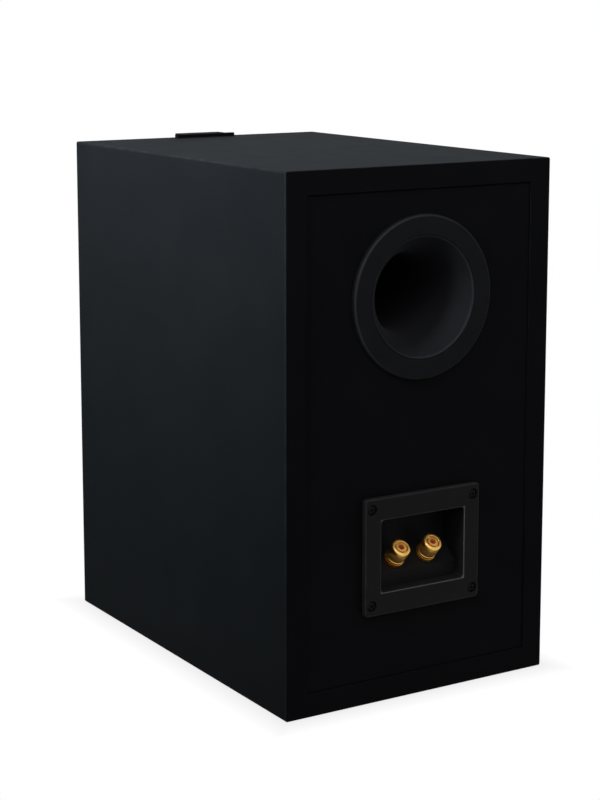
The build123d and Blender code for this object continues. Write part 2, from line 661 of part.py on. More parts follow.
def woofer_yoke():
    """Back plate and vented pole piece in one turning."""
    start, tip, broken = TOP_PLATE_DEPTH + TOP_PLATE + MAGNET, TOP_PLATE_DEPTH - 1, 2.0
    end = start + YOKE
    return turned(WOOFER_Z, closed(
        at(POLE_VENT, tip), at(POLE_RADIUS, tip), at(POLE_RADIUS, start), at(PLATE_RADIUS, start),
        at(PLATE_RADIUS, end - broken), at(PLATE_RADIUS - broken, end), at(POLE_VENT, end)))


def woofer_terminal_strip():
    """Board on the side of the frame with two push-on tabs."""
    depth = FRONT + STRIP_DEPTH
    strip = Pos(STRIP_X - 3.5, depth, WOOFER_Z) * Box(7, 9, 22)
    strip -= rod_y(BASKET_SKIRT, depth - 11, depth + 9, 0, WOOFER_Z)
    for dz in (-TAB_OFFSET, TAB_OFFSET):
        strip += Pos(STRIP_X, depth + 7, WOOFER_Z + dz) * Box(0.8, 9, 4.8)
    return strip


def tinsel_leads():
    """Two limp leads from the terminal strip to the back of the cone."""
    pieces = []
    for dz in (-TAB_OFFSET, TAB_OFFSET):
        z = WOOFER_Z + dz
        route = [(59.0, FRONT + 36.5, z), (59.0, FRONT + 32.5, z), (56.5, FRONT + 28.5, z),
                 (49.5, FRONT + 27.0, z), (42.5, FRONT + 23.5, z), (38.5, FRONT + 17.5, z),
                 (37.5, FRONT + 9.0, z)]
        pieces.append(lead(route, TINSEL_RADIUS) - ahead_of_cone())
    return group(pieces)


def waveguide_outline():
    """Round-cornered square that carries on upwards as a tongue."""
    corner, blend = (WAVEGUIDE_SIDE - TONGUE_WIDTH) / 2, 8.0
    top = CABINET_HEIGHT + LIP_HEIGHT
    outline = Pos(0, TWEETER_Z) * RectangleRounded(WAVEGUIDE_SIDE, WAVEGUIDE_SIDE, corner)
    outline += Pos(0, (TWEETER_Z + top) / 2) * Rectangle(TONGUE_WIDTH, top - TWEETER_Z)
    return fillet(outline.vertices().group_by(Axis.Y)[-2], blend)


def tweeter_waveguide():
    """Moulded plate with a shallow horn; its tongue runs over the cabinet's top and ends in a wider lip."""
    face, top = FRONT - PROUD, CABINET_HEIGHT + LIP_HEIGHT
    mouth, throat, throat_depth = HORN_MOUTH_RADIUS, HORN_THROAT_RADIUS, HORN_THROAT_DEPTH
    plate = slab_y(waveguide_outline(), face, FRONT)
    hung = (Align.CENTER, Align.MIN, Align.MAX)
    plate += Pos(0, face, top) * Box(TONGUE_WIDTH, PROUD + TONGUE_REACH + CUT, LIP_HEIGHT, align=hung)
    plate += Pos(0, FRONT + TONGUE_REACH, top) * Box(LIP_WIDTH, LIP_DEPTH, LIP_HEIGHT, align=hung)
    plate = fillet(plate.faces().sort_by(Axis.Y)[0].edges(), 1.2)
    lip_back = plate.faces().sort_by(Axis.Y)[-1].edges()
    plate = fillet(lip_back.filter_by_position(Axis.Z, CABINET_HEIGHT + 0.1, top + CUT), 0.8)
    shell = mouth - 2
    plate += turned(TWEETER_Z, closed(
        at(0, -2), at(shell, -2), at(shell, 2), at(40, 3.2), at(27, 9.6), at(22, MOTOR_DEPTH - 3),
        at(MOTOR_RADIUS, MOTOR_DEPTH - 3), at(MOTOR_RADIUS, MOTOR_DEPTH), at(0, MOTOR_DEPTH)))
    horn = Spline(at(mouth, -PROUD), at(38, -0.2), at(24, 6.5), at(throat, throat_depth),
                  tangents=[(-1, 0.08), (-0.62, 0.78)])
    rest = Polyline(at(throat, throat_depth), at(throat, MOTOR_DEPTH + CUT), at(0, MOTOR_DEPTH + CUT),
                    at(0, -PROUD - CUT), at(mouth, -PROUD - CUT), at(mouth, -PROUD))
    plate -= turned(TWEETER_Z, horn, rest)
    plate = drilled(plate, TWEETER_SCREWS, THROUGH_RADIUS, face - CUT, FRONT + CUT)
    return drilled(plate, TWEETER_SCREWS, SEAT_RADIUS, face - CUT, face + WAVEGUIDE_SEAT)


def tweeter_screws():
    seat, length = FRONT - PROUD + WAVEGUIDE_SEAT, SCREW_GRIP + PROUD
    return group([pan_screw(x, z, seat, -1, length) for x, z in TWEETER_SCREWS])


def tweeter_dome():
    """Thin domed cap."""
    base, skin, share = MOTOR_DEPTH, 0.3, 0.55
    apex, drop, inside = base - DOME_HEIGHT, DOME_HEIGHT * 0.29, DOME_RADIUS - skin
    return turned(
        TWEETER_Z,
        ThreePointArc(at(0, apex), at(DOME_RADIUS * share, apex + drop), at(DOME_RADIUS, base)),
        Line(at(DOME_RADIUS, base), at(inside, base)),
        ThreePointArc(at(0, apex + skin), at(inside * share, apex + skin + drop), at(inside, base)),
        Line(at(0, apex + skin), at(0, apex)),
    )


def tweeter_surround():
    """Fine half roll round the dome with its clamping ring."""
    base, back, skin, rise = MOTOR_DEPTH, MOTOR_DEPTH + CLAMP_RING, 0.25, 1.5
    inner, outer, ring = DOME_RADIUS + 0.05, HORN_THROAT_RADIUS, MOTOR_RADIUS - 1
    over, under = half_roll(inner, outer, base, rise, skin)
    clamp = Polyline(at(outer, base), at(ring, base), at(ring, back), at(outer - skin, back),
                     at(outer - skin, base))
    return turned(TWEETER_Z, over, clamp, under, Line(at(inner + skin, base), at(inner, base)))


def tweeter_voice_coil():
    inner, former, winding = DOME_RADIUS - 0.3, DOME_RADIUS, DOME_RADIUS + 0.4
    start, wound, end = MOTOR_DEPTH, MOTOR_DEPTH + 1.2, MOTOR_DEPTH + 4.2
    return turned(TWEETER_Z, closed(
        at(inner, start), at(former, start), at(former, wound), at(winding, wound), at(winding, end),
        at(inner, end)))


def tweeter_top_plate():
    front, gap = FRONT + MOTOR_DEPTH + CLAMP_RING, DOME_RADIUS + 0.8
    return tube_y(MOTOR_RADIUS, gap, front, front + TWEETER_PLATE, TWEETER_Z)


def tweeter_magnet():
    front = FRONT + MOTOR_DEPTH + CLAMP_RING + TWEETER_PLATE
    return tube_y(MOTOR_RADIUS - 1, MOTOR_RADIUS / 2, front, front + TWEETER_MAGNET, TWEETER_Z)


def tweeter_yoke():
    pole, vent, edge = TWEETER_POLE_RADIUS, 3.5, MOTOR_RADIUS - 2
    tip, start = MOTOR_DEPTH + 0.8, MOTOR_DEPTH + CLAMP_RING + TWEETER_PLATE + TWEETER_MAGNET
    end = start + TWEETER_YOKE
    return turned(TWEETER_Z, closed(
        at(vent, tip), at(pole, tip), at(pole, start), at(edge, start), at(edge, end), at(vent, end)))


def tweeter_rear_cup():
    """Closed chamber behind the vented pole."""
    start = MOTOR_DEPTH + CLAMP_RING + TWEETER_PLATE + TWEETER_MAGNET + TWEETER_YOKE
    inner, outer, floor, end = 27.0, 30.0, start + 10, start + 12
    return turned(TWEETER_Z, closed(
        at(inner, start), at(outer, start), at(outer, floor), at(outer - 2, end), at(0, end), at(0, floor),
        at(inner, floor)))


def tweeter_terminals():
    """Two tabs on a foot fixed to the edge of the top plate."""
    depth = FRONT + MOTOR_DEPTH + CLAMP_RING + TWEETER_PLATE / 2
    foot = Pos(-MOTOR_RADIUS - 1, depth, TWEETER_Z) * Box(6, 3, 18)
    foot -= rod_y(MOTOR_RADIUS, depth - 3, depth + 3, 0, TWEETER_Z)
    for dz in (-TWEETER_TAB_OFFSET, TWEETER_TAB_OFFSET):
        foot += Pos(-MOTOR_RADIUS - 7, depth, TWEETER_Z + dz) * Box(8, 0.8, 4)
    return foot


def board_fixings():
    """Places of the four board screws in X and Y."""
    dx, dy = BOARD_SIZE[0] / 2 - BOARD_HOLE_INSET, BOARD_SIZE[1] / 2 - BOARD_HOLE_INSET
    return [(sx * dx, BOARD_Y + sy * dy) for sx in (-1, 1) for sy in (-1, 1)]


def crossover_board():
    board = Pos(0, BOARD_Y, BOARD_TOP - BOARD_SIZE[2] / 2) * Box(*BOARD_SIZE)
    for x, y in board_fixings():
        board -= Pos(x, y, BOARD_TOP) * Cylinder(BOARD_HOLE_RADIUS, 4 * BOARD_SIZE[2])
    return board


def board_standoffs():
    sleeve = Cylinder(4, STANDOFF, align=FROM_BASE) - Cylinder(BOARD_HOLE_RADIUS, 3 * STANDOFF)
    return group([Pos(x, y, WALL) * sleeve for x, y in board_fixings()])


def board_screws():
    shank = Cylinder(BOARD_SCREW_RADIUS, BOARD_SCREW_LENGTH, align=FROM_BASE)
    screw = Cylinder(2.8, 1.8, align=FROM_BASE) + Pos(0, 0, -BOARD_SCREW_LENGTH) * shank
    return group([Pos(x, y, BOARD_TOP) * screw for x, y in board_fixings()])


def inductor(x, y, radius, bore, height):
    """Air-cored coil lying flat on the board, wound on a flanged bobbin."""
    wound, cheek = radius - 2.5, 1.5
    outline = closed((bore, 0), (radius, 0), (radius, cheek), (wound, cheek), (wound, height - cheek),
                     (radius, height - cheek), (radius, height), (bore, height))
    return Pos(x, y, BOARD_TOP) * revolve(Plane.XZ * make_face(outline), Axis.Z)


def capacitor(x, y, radius, length):
    """Round film capacitor lying along Y on the board."""
    body = rod_y(radius, -length / 2, length / 2)
    return Pos(x, y, BOARD_TOP + radius) * fillet(body.edges().filter_by(GeomType.CIRCLE), 1.2)


def resistors():
    """Two cement power resistors side by side."""
    side, length = 9.5, 46.0
    block = Box(side, length, side, align=FROM_BASE)
    block = chamfer(block.edges().filter_by(Axis.Y), 0.8)
    return group([Pos(x, BOARD_Y + 6, BOARD_TOP) * block for x in (12, 24)])


def input_leads():
    """From the solder lugs down to the board."""
    pieces = []
    for side in (-1, 1):
        start = post_frame(side) * Pos(side * 13, 0, -CUP_WALL - LUG - LEAD_RADIUS)
        x, y, z = start.position
        out = x + side * 5
        drop = out - side
        route = [(x, y, z), (out, y - 6, z - 4), (out + side, y - 14, z - 14), (out, y - 20, z - 30),
                 (drop, y - 22, z - 48), (drop, y - 22, BOARD_TOP)]
        pieces.append(lead(route))
    return group(pieces)


def woofer_leads():
    """From the board to the tabs on the woofer's frame."""
    pieces = []
    for dz in (-TAB_OFFSET, TAB_OFFSET):
        x, z = 38 + dz * 0.35, WOOFER_Z + dz
        route = [(x, BOARD_Y - 32, BOARD_TOP), (x, BOARD_Y - 32, BOARD_TOP + 12),
                 (x + 3, BOARD_Y - 48, BOARD_TOP + 26), (x + 9, BOARD_Y - 82, z - 44),
                 (x + 17, BOARD_Y - 122, z - 26), (x + 21, BOARD_Y - 154, z - 6),
                 (STRIP_X, FRONT + 64, z), (STRIP_X, FRONT + 52.5, z)]
        pieces.append(lead(route))
    return group(pieces)


def tweeter_leads():
    """From the board up to the tabs on the tweeter."""
    pieces = []
    for dz in (-TWEETER_TAB_OFFSET, TWEETER_TAB_OFFSET):
        x, z = -42 + dz * 0.35, TWEETER_Z + dz
        route = [(x, BOARD_Y - 32, BOARD_TOP), (x, BOARD_Y - 32, BOARD_TOP + 14),
                 (x - 3, BOARD_Y - 48, BOARD_TOP + 34), (x - 8, BOARD_Y - 80, BOARD_TOP + 72),
                 (x - 12, BOARD_Y - 112, BOARD_TOP + 118), (x - 13, BOARD_Y - 142, BOARD_TOP + 166),
                 (x - 10, BOARD_Y - 172, z - 46), (x - 6, FRONT + 52, z - 18), (-44.5, FRONT + 32, z),
                 (-44.5, FRONT + MOTOR_DEPTH + 2.9, z)]
        pieces.append(lead(route))
    return group(pieces)


def build_nodes():
    nodes = cabinet_panels()
    makers = [
        front_baffle, back_panel, window_brace, damping_wadding, port_flange, port_tube, terminal_cup,
        terminal_gasket, terminal_screws, post_nuts, solder_lugs, woofer_basket, woofer_gasket,
        woofer_trim_ring, woofer_screws, woofer_surround, woofer_cone, woofer_dust_cap, voice_coil_former,
        voice_coil_winding, woofer_spider, woofer_top_plate, woofer_magnet, woofer_yoke,
        woofer_terminal_strip, tinsel_leads, tweeter_waveguide, tweeter_screws, tweeter_dome,
        tweeter_surround, tweeter_voice_coil, tweeter_top_plate, tweeter_magnet, tweeter_yoke,
        tweeter_rear_cup, tweeter_terminals, crossover_board, board_standoffs, board_screws, resistors,
        input_leads, woofer_leads, tweeter_leads,
    ]
    for maker in makers:
        nodes[maker.__name__] = maker()
    for side, pole in ((1, "positive"), (-1, "negative")):
        for maker in (post_stud, post_collar, clamp_washer, post_cap):
            nodes[f"{maker.__name__}_{pole}"] = maker(side)
    nodes["woofer_inductor"] = inductor(-34, BOARD_Y + 2, 20, 8, 24)
    nodes["tweeter_inductor"] = inductor(-8, BOARD_Y - 22, 13, 6, 15)
    nodes["woofer_capacitor"] = capacitor(44, BOARD_Y + 14, 9, 36)
    nodes["tweeter_capacitor"] = capacitor(22, BOARD_Y - 27, 7, 16)
    return nodes


os.makedirs("parts", exist_ok=True)
for name, shape in build_nodes().items():
    export_step(shape, f"parts/{name}.step")
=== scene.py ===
import json
import math

import bmesh
import bpy
import numpy as np
from mathutils import Matrix, Vector, noise


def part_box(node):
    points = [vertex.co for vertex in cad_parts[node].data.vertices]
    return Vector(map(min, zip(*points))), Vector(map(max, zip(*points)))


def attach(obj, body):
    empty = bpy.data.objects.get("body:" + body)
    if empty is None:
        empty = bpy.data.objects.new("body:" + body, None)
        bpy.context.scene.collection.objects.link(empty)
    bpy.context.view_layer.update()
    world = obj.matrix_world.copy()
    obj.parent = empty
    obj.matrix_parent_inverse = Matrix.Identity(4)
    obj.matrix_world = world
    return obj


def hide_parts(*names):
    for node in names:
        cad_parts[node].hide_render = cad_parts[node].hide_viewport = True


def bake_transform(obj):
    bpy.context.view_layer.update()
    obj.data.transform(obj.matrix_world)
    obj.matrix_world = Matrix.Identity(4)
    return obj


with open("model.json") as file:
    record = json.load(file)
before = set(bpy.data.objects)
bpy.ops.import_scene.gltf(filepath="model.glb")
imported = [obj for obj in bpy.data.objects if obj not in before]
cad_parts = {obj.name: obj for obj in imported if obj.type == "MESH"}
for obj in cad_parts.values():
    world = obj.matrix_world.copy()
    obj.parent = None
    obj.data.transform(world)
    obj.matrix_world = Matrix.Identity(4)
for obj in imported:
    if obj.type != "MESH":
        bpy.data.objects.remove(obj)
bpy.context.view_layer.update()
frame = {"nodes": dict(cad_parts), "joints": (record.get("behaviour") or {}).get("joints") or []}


# Cabinet wrap: four fibreboard panels, mitred and folded into a box under one sheet of black vinyl film.
# The film is pressed with a fine pebble and rubbed a little paler along its folded corners.
# The rear edges, and the step a few millimetres inside them, take the back panel's darker colour and sheen, as
# painted shade.
WRAP_DARK, WRAP_LIGHT = (0.0114, 0.0141, 0.0165), (0.0136, 0.0167, 0.0193)
BACK_SHADED_DARK, BACK_SHADED_LIGHT = (0.0058, 0.0060, 0.0071), (0.0076, 0.0078, 0.0091)
WRAP_SHEEN, BACK_SHEEN = 0.007, 0.019
FILM_GRAIN, FILM_RELIEF, FILM_PATCH = 0.0005, 0.00003, 0.045
REAR_SHADE_EDGE, REAR_SHADE_INSIDE = 0.0004, 0.004  # how far the painted shade of the rear edges reaches along the outside and along the inside
RUB_WIDTH, WEAR_AND_HIGHLIGHT_PATCH, WEAR_AND_HIGHLIGHT_LEAST, RUBBED = 0.0022, 0.012, 0.25, (0.030, 0.034, 0.037, 1)
GLOSS_PATCH = 0.4  # patches of gloss, as a share of the patches of colour


def node(tree, kind, inputs=(), **settings):
    """Adds a node; inputs are values or sockets by name or number, settings are the node's own choices."""
    made = tree.nodes.new(kind)
    for key, value in settings.items():
        setattr(made, key, value)
    for key, value in dict(inputs).items():
        if isinstance(value, bpy.types.NodeSocket):
            tree.links.new(value, made.inputs[key])
        else:
            made.inputs[key].default_value = value
    return made


def reckon(tree, operation, *numbers):
    """Result of one sum on numbers or sockets, such as ADD or MINIMUM."""
    return node(tree, "ShaderNodeMath", enumerate(numbers), operation=operation).outputs[0]


def reckon_vector(tree, operation, *vectors):
    """Result of one vector sum; LENGTH gives a number."""
    made = node(tree, "ShaderNodeVectorMath", enumerate(vectors), operation=operation)
    return made.outputs["Value" if operation == "LENGTH" else "Vector"]


def spot_on(tree):
    """Place on the piece, in metres."""
    return node(tree, "ShaderNodeTexCoord").outputs["Object"]


def blank(name, roughness, specular, metallic=0.0):
    """Material with a plain shader: the material, its tree, the shader and the place on the piece."""
    material = bpy.data.materials.new(name)
    material.use_nodes = True
    tree = material.node_tree
    shader = tree.nodes["Principled BSDF"]
    shader.inputs["Roughness"].default_value = roughness
    shader.inputs["Specular IOR Level"].default_value = specular
    shader.inputs["Metallic"].default_value = metallic
    return material, tree, shader, spot_on(tree)


def mottle(tree, place, size, detail=3.0):
    """Soft cloudy noise of about 0 to 1, with patches of a given size in metres."""
    return node(tree, "ShaderNodeTexNoise", {"Vector": place, "Scale": 1 / size, "Detail": detail}).outputs[0]


def between(tree, share, low, high, start=0.3, end=0.7):
    """Number that goes from low to high as share goes from start to end."""
    values = {"Value": share, "From Min": start, "From Max": end, "To Min": low, "To Max": high}
    return node(tree, "ShaderNodeMapRange", values).outputs[0]


def two_tone(tree, share, dark, light, start=0.3, end=0.7):
    """Colour that goes from dark to light as share goes from start to end."""
    ramp = node(tree, "ShaderNodeValToRGB", {"Fac": share})
    for stop, position, colour in zip(ramp.color_ramp.elements, (start, end), (dark, light)):
        stop.position = position
        stop.color = (*colour, 1.0)
    return ramp.outputs["Color"]


def raise_grain(tree, shader, height, depth):
    """Surface relief of a given depth in metres."""
    bump = node(tree, "ShaderNodeBump", {"Strength": 1.0, "Distance": depth, "Height": height})
    tree.links.new(bump.outputs["Normal"], shader.inputs["Normal"])


def moulded(name, dark, light, roughness, specular, grain, depth, patch=0.03, drift=0.06):
    """Plastic, film or paint: a fine raised grain, and colour and gloss that drift slightly over patches."""
    material, tree, shader, place = blank(name, roughness, specular)
    clouds = mottle(tree, place, patch)
    tree.links.new(two_tone(tree, clouds, dark, light), shader.inputs["Base Color"])
    gloss = between(tree, mottle(tree, place, patch * GLOSS_PATCH), roughness - drift, roughness + drift)
    tree.links.new(gloss, shader.inputs["Roughness"])
    raise_grain(tree, shader, mottle(tree, place, grain, detail=2.0), depth)
    return material


def tint(material, share, colour):
    """Takes a material from its own colour to another, a value or a socket, as share goes from 0 to 1."""
    tree = material.node_tree
    base = tree.nodes["Principled BSDF"].inputs["Base Color"]
    mix = node(tree, "ShaderNodeMix", {0: share, 6: base.links[0].from_socket, 7: colour}, data_type="RGBA")
    tree.links.new(mix.outputs[2], base)


def insets(tree, place, middle, half):
    """How far a place lies inside each pair of a box's faces, in X, Y and Z."""
    folded = reckon_vector(tree, "ABSOLUTE", reckon_vector(tree, "SUBTRACT", place, middle))
    return node(tree, "ShaderNodeSeparateXYZ", {0: reckon_vector(tree, "SUBTRACT", half, folded)}).outputs


def edge_wear_and_highlight(material, middle, half, width, paler):
    """Makes a box's material paler within a width of the box's edges, in uneven patches: rubbed wear on the
    wrap, a painted highlight on the terminal plate.
    """
    tree = material.node_tree
    place = spot_on(tree)
    x, y, z = insets(tree, place, middle, half)
    least, most = reckon(tree, "MINIMUM", x, y), reckon(tree, "MAXIMUM", x, y)
    to_edge = reckon(tree, "MAXIMUM", least, reckon(tree, "MINIMUM", most, z))
    near = between(tree, to_edge, 1.0, 0.0, 0.0, width)
    wear_and_highlight_patches = between(tree, mottle(tree, place, WEAR_AND_HIGHLIGHT_PATCH), WEAR_AND_HIGHLIGHT_LEAST, 1.0)
    tint(material, reckon(tree, "MULTIPLY", near, wear_and_highlight_patches), paler)


def rear_painted_shade(material, middle, half, dark, light, sheen, rear_sheen):
    """Gives a box's material the back's darker colour and sheen on its rear edges and just inside them, as
    painted shade.
    """
    tree = material.node_tree
    place = spot_on(tree)
    x, _, z = insets(tree, place, middle, half)
    from_wrap = reckon(tree, "MINIMUM", x, z)
    reach = between(tree, from_wrap, REAR_SHADE_EDGE, REAR_SHADE_INSIDE, REAR_SHADE_INSIDE, 2 * REAR_SHADE_INSIDE)
    depth = node(tree, "ShaderNodeSeparateXYZ", {0: place}).outputs["Y"]
    ahead = reckon(tree, "SUBTRACT", middle.y + half.y, depth)
    behind = between(tree, reckon(tree, "DIVIDE", ahead, reach), 1.0, 0.0, 0.0, 1.0)
    tint(material, behind, two_tone(tree, mottle(tree, place, FILM_PATCH), dark, light))
    specular = tree.nodes["Principled BSDF"].inputs["Specular IOR Level"]
    tree.links.new(between(tree, behind, sheen, rear_sheen, 0.0, 1.0), specular)


def dress(material, *names):
    """Gives CAD nodes their finish."""
    for name in names:
        frame["nodes"][name].data.materials[0] = material


wrap_low, wrap_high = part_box("bottom_panel")[0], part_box("top_panel")[1]
wrap_middle, wrap_half = (wrap_low + wrap_high) / 2, (wrap_high - wrap_low) / 2
wrap_vinyl = moulded("wrap_vinyl", WRAP_DARK, WRAP_LIGHT, roughness=0.64, specular=WRAP_SHEEN,
                     grain=FILM_GRAIN, depth=FILM_RELIEF, patch=FILM_PATCH, drift=0.02)
edge_wear_and_highlight(wrap_vinyl, wrap_middle, wrap_half, RUB_WIDTH, RUBBED)
# Painted shade: the rear edges and the step inside them take the back panel's darker colour.
rear_painted_shade(wrap_vinyl, wrap_middle, wrap_half, BACK_SHADED_DARK, BACK_SHADED_LIGHT, WRAP_SHEEN, BACK_SHEEN)
dress(wrap_vinyl, "top_panel", "bottom_panel", "left_side_panel", "right_side_panel")


# Front baffle: a thicker fibreboard set in between the wrap, under a smoother satin film.
# It is cut through for the two drive units, which cover its raw edges.
baffle_film = moulded("baffle_film", (0.0095, 0.0100, 0.0110), (0.0125, 0.0132, 0.0145),
                      roughness=0.50, specular=0.08, grain=0.0004, depth=0.00001)
dress(baffle_film, "front_baffle")


# Back panel: fibreboard set in between the wrap, 1 mm in from its rear edges, under a film darker than the
# wrap's, its darker colour painted shade for this side, away from the light. It is cut through for the port and
# the terminal cup, which cover its raw edges.
shaded_back_film = moulded("shaded_back_film", BACK_SHADED_DARK, BACK_SHADED_LIGHT, roughness=0.55, specular=BACK_SHEEN,
                    grain=FILM_GRAIN, depth=FILM_RELIEF, patch=FILM_PATCH)
dress(shaded_back_film, "back_panel")


# Window brace: a raw fibreboard frame glued across the inside of the box to stiffen its walls.
# Its faces show pressed fibres and its window is routed out.
FIBRE, FIBRE_STRETCH, FIBRE_RELIEF = 0.004, (1.0, 6.0, 1.0), 0.0002
FIBRE_DARK, FIBRE_LIGHT = (0.22, 0.14, 0.08), (0.42, 0.30, 0.19)
bare_board, tree, shader, place = blank("bare_board", roughness=0.85, specular=0.2)
stretched = node(tree, "ShaderNodeMapping", {"Vector": place, "Scale": FIBRE_STRETCH}).outputs[0]
fibres = mottle(tree, stretched, FIBRE, detail=6.0)
tree.links.new(two_tone(tree, fibres, FIBRE_DARK, FIBRE_LIGHT), shader.inputs["Base Color"])
raise_grain(tree, shader, fibres, FIBRE_RELIEF)
dress(bare_board, "window_brace")


# Damping wadding: two folded sheets of white polyester fibre, stapled to the side walls and the top.
# The outer side lies flat on the boards, and the inner side is lofty and uneven.
WADDING_THICK, WALL_GAP = 0.018, 0.001
LOFT, LOFT_SWAY, RIM_LOFT, LUMPS = 0.80, 0.18, 0.45, 45  # shares of the thickness, and lumps to a metre
FOLD_STEPS, LENGTH_STEPS = 72, 22
STRAND, STRAND_RELIEF = 0.0025, 0.0008
STRAND_DARK, STRAND_LIGHT = (0.55, 0.55, 0.53), (0.85, 0.85, 0.83)
wadding_low, wadding_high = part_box("damping_wadding")
brace_low, brace_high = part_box("window_brace")


def smooth(mesh, sharp):
    """Shades a mesh smooth up to a sharp angle in degrees."""
    mesh.shade_smooth()
    mesh.set_sharp_from_angle(angle=math.radians(sharp))


def keep(name, work, sharp=40):
    """Makes an object of a finished mesh, with its faces outwards."""
    bmesh.ops.recalc_face_normals(work, faces=work.faces)
    mesh = bpy.data.meshes.new(name)
    work.to_mesh(mesh)
    work.free()
    smooth(mesh, sharp)
    piece = bpy.data.objects.new(name, mesh)
    bpy.context.scene.collection.objects.link(piece)
    return piece


def fold_point(share):
    """Point and inward direction on the walls, from the left foot over the top to the right foot."""
    half, rise = wadding_high.x, wadding_high.z - wadding_low.z
    run = share * (2 * rise + 2 * half)
    if run < rise:
        return Vector((-half, 0, wadding_low.z + run)), Vector((1, 0, 0))
    if run < rise + 2 * half:
        return Vector((-half + run - rise, 0, wadding_high.z)), Vector((0, 0, -1))
    return Vector((half, 0, wadding_high.z - (run - rise - 2 * half))), Vector((-1, 0, 0))


def wadding_sheet(name, start, end):
    """Closed sheet with a flat outer side and a lumpy inner side."""
    work = bmesh.new()
    sides = {}
    for i in range(FOLD_STEPS + 1):
        wall, inward = fold_point(i / FOLD_STEPS)
        for j in range(LENGTH_STEPS + 1):
            spot = wall + Vector((0, start + (end - start) * j / LENGTH_STEPS, 0))
            at_rim = i in (0, FOLD_STEPS) or j in (0, LENGTH_STEPS)
            loft = RIM_LOFT if at_rim else LOFT + LOFT_SWAY * noise.noise(spot * LUMPS)
            lofted = spot + inward * WADDING_THICK * loft
            lofted.x = max(-wadding_high.x + WALL_GAP, min(wadding_high.x - WALL_GAP, lofted.x))
            lofted.z = min(wadding_high.z - WALL_GAP, lofted.z)
            sides[0, i, j] = work.verts.new(spot)
            sides[1, i, j] = work.verts.new(lofted)

    def close(*corners):
        """One face between points of the sheet's two sides."""
        work.faces.new([sides[corner] for corner in corners])

    for i in range(FOLD_STEPS):
        for j in range(LENGTH_STEPS):
            for k in (0, 1):
                close((k, i, j), (k, i + 1, j), (k, i + 1, j + 1), (k, i, j + 1))
    for i in range(FOLD_STEPS):
        for j in (0, LENGTH_STEPS):
            close((0, i, j), (0, i + 1, j), (1, i + 1, j), (1, i, j))
    for j in range(LENGTH_STEPS):
        for i in (0, FOLD_STEPS):
            close((0, i, j), (0, i, j + 1), (1, i, j + 1), (1, i, j))
    return keep(name, work)


fleece, tree, shader, place = blank("fleece", roughness=0.95, specular=0.1)
strands = mottle(tree, place, STRAND, detail=6.0)
tree.links.new(two_tone(tree, strands, STRAND_DARK, STRAND_LIGHT), shader.inputs["Base Color"])
shader.inputs["Sheen Weight"].default_value = 0.4
raise_grain(tree, shader, strands, STRAND_RELIEF)
for name, start, end in (("front_wadding", wadding_low.y, brace_low.y),
                         ("rear_wadding", brace_high.y, wadding_high.y)):
    sheet = wadding_sheet(name, start, end)
    sheet.data.materials.append(fleece)
    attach(sheet, "cabinet")
    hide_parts("damping_wadding")


# Reflex port: a moulded ring with a flared mouth, pushed into the back panel, and a tube with an inner flare.
# Both are black styrene with a fine spark texture. The ring's edge and the mouth's lip carry a painted
# highlight, its standing wall painted shade, and the flare gets paler towards the bore, as painted light in the
# dark throat.
RING_RADIUS, MOUTH_RADIUS, BORE_RADIUS = 0.0555, 0.0412, 0.026
WALL_WIDTH, WALL_PAINTED_SHADE = 0.0010, (0.0055, 0.0056, 0.0068, 1)
RING_EDGE_IN, RING_EDGE_WIDTH = 0.0012, 0.0008
LIP_IN, LIP_WIDTH = 0.0006, 0.0010
PAINTED_HIGHLIGHT, BORE_PAINTED_LIGHT = (0.036, 0.037, 0.044, 1), (0.024, 0.0245, 0.029, 1)
port_moulding = moulded("port_moulding", (0.0137, 0.0143, 0.0177), (0.0171, 0.0179, 0.0217),
                        roughness=0.60, specular=0.03, grain=0.0003, depth=0.00001, patch=0.02)


def tone_ring(material, middle, radius, width, colour):
    """Takes a turned piece to another colour towards a circle about the Y direction, from a width away."""
    tree = material.node_tree
    centred = reckon_vector(tree, "SUBTRACT", spot_on(tree), middle)
    far = reckon_vector(tree, "LENGTH", reckon_vector(tree, "MULTIPLY", centred, (1, 0, 1)))
    away = reckon(tree, "ABSOLUTE", reckon(tree, "SUBTRACT", far, radius))
    tint(material, between(tree, away, 1.0, 0.0, 0.0, width), colour)


ring_low, ring_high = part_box("port_flange")
port_middle = (ring_low + ring_high) / 2
# Painted light towards the bore, painted shade on the ring's standing wall, painted highlights on the ring's
# edge and the mouth's lip.
tone_ring(port_moulding, port_middle, BORE_RADIUS, MOUTH_RADIUS - BORE_RADIUS, BORE_PAINTED_LIGHT)
tone_ring(port_moulding, port_middle, RING_RADIUS, WALL_WIDTH, WALL_PAINTED_SHADE)
tone_ring(port_moulding, port_middle, RING_RADIUS - RING_EDGE_IN, RING_EDGE_WIDTH, PAINTED_HIGHLIGHT)
tone_ring(port_moulding, port_middle, MOUTH_RADIUS - LIP_IN, LIP_WIDTH, PAINTED_HIGHLIGHT)
dress(port_moulding, "port_flange", "port_tube")


# Terminal cup: a moulded plate with a recess whose ramp carries the posts, on a foam gasket on the back panel.
# Black styrene with a satin face, with painted highlights along the plate's edges and round the mouth of the
# recess.
# The woofer's gasket is cut from the same foam.
RECESS_HALF, EDGE_WIDTH = Vector((0.034, 0.0, 0.0249)), 0.0008
EDGE_HIGHLIGHT, RIM_HIGHLIGHT = (0.100, 0.100, 0.104, 1), (0.210, 0.210, 0.217, 1)
BEHIND = Vector((0, 1, 0))  # sends the far side of the plate's box away, so that only its face has edges
cup_moulding = moulded("cup_moulding", (0.0131, 0.0131, 0.0140), (0.0161, 0.0161, 0.0172),
                       roughness=0.52, specular=0.055, grain=0.0003, depth=0.00001, patch=0.02)


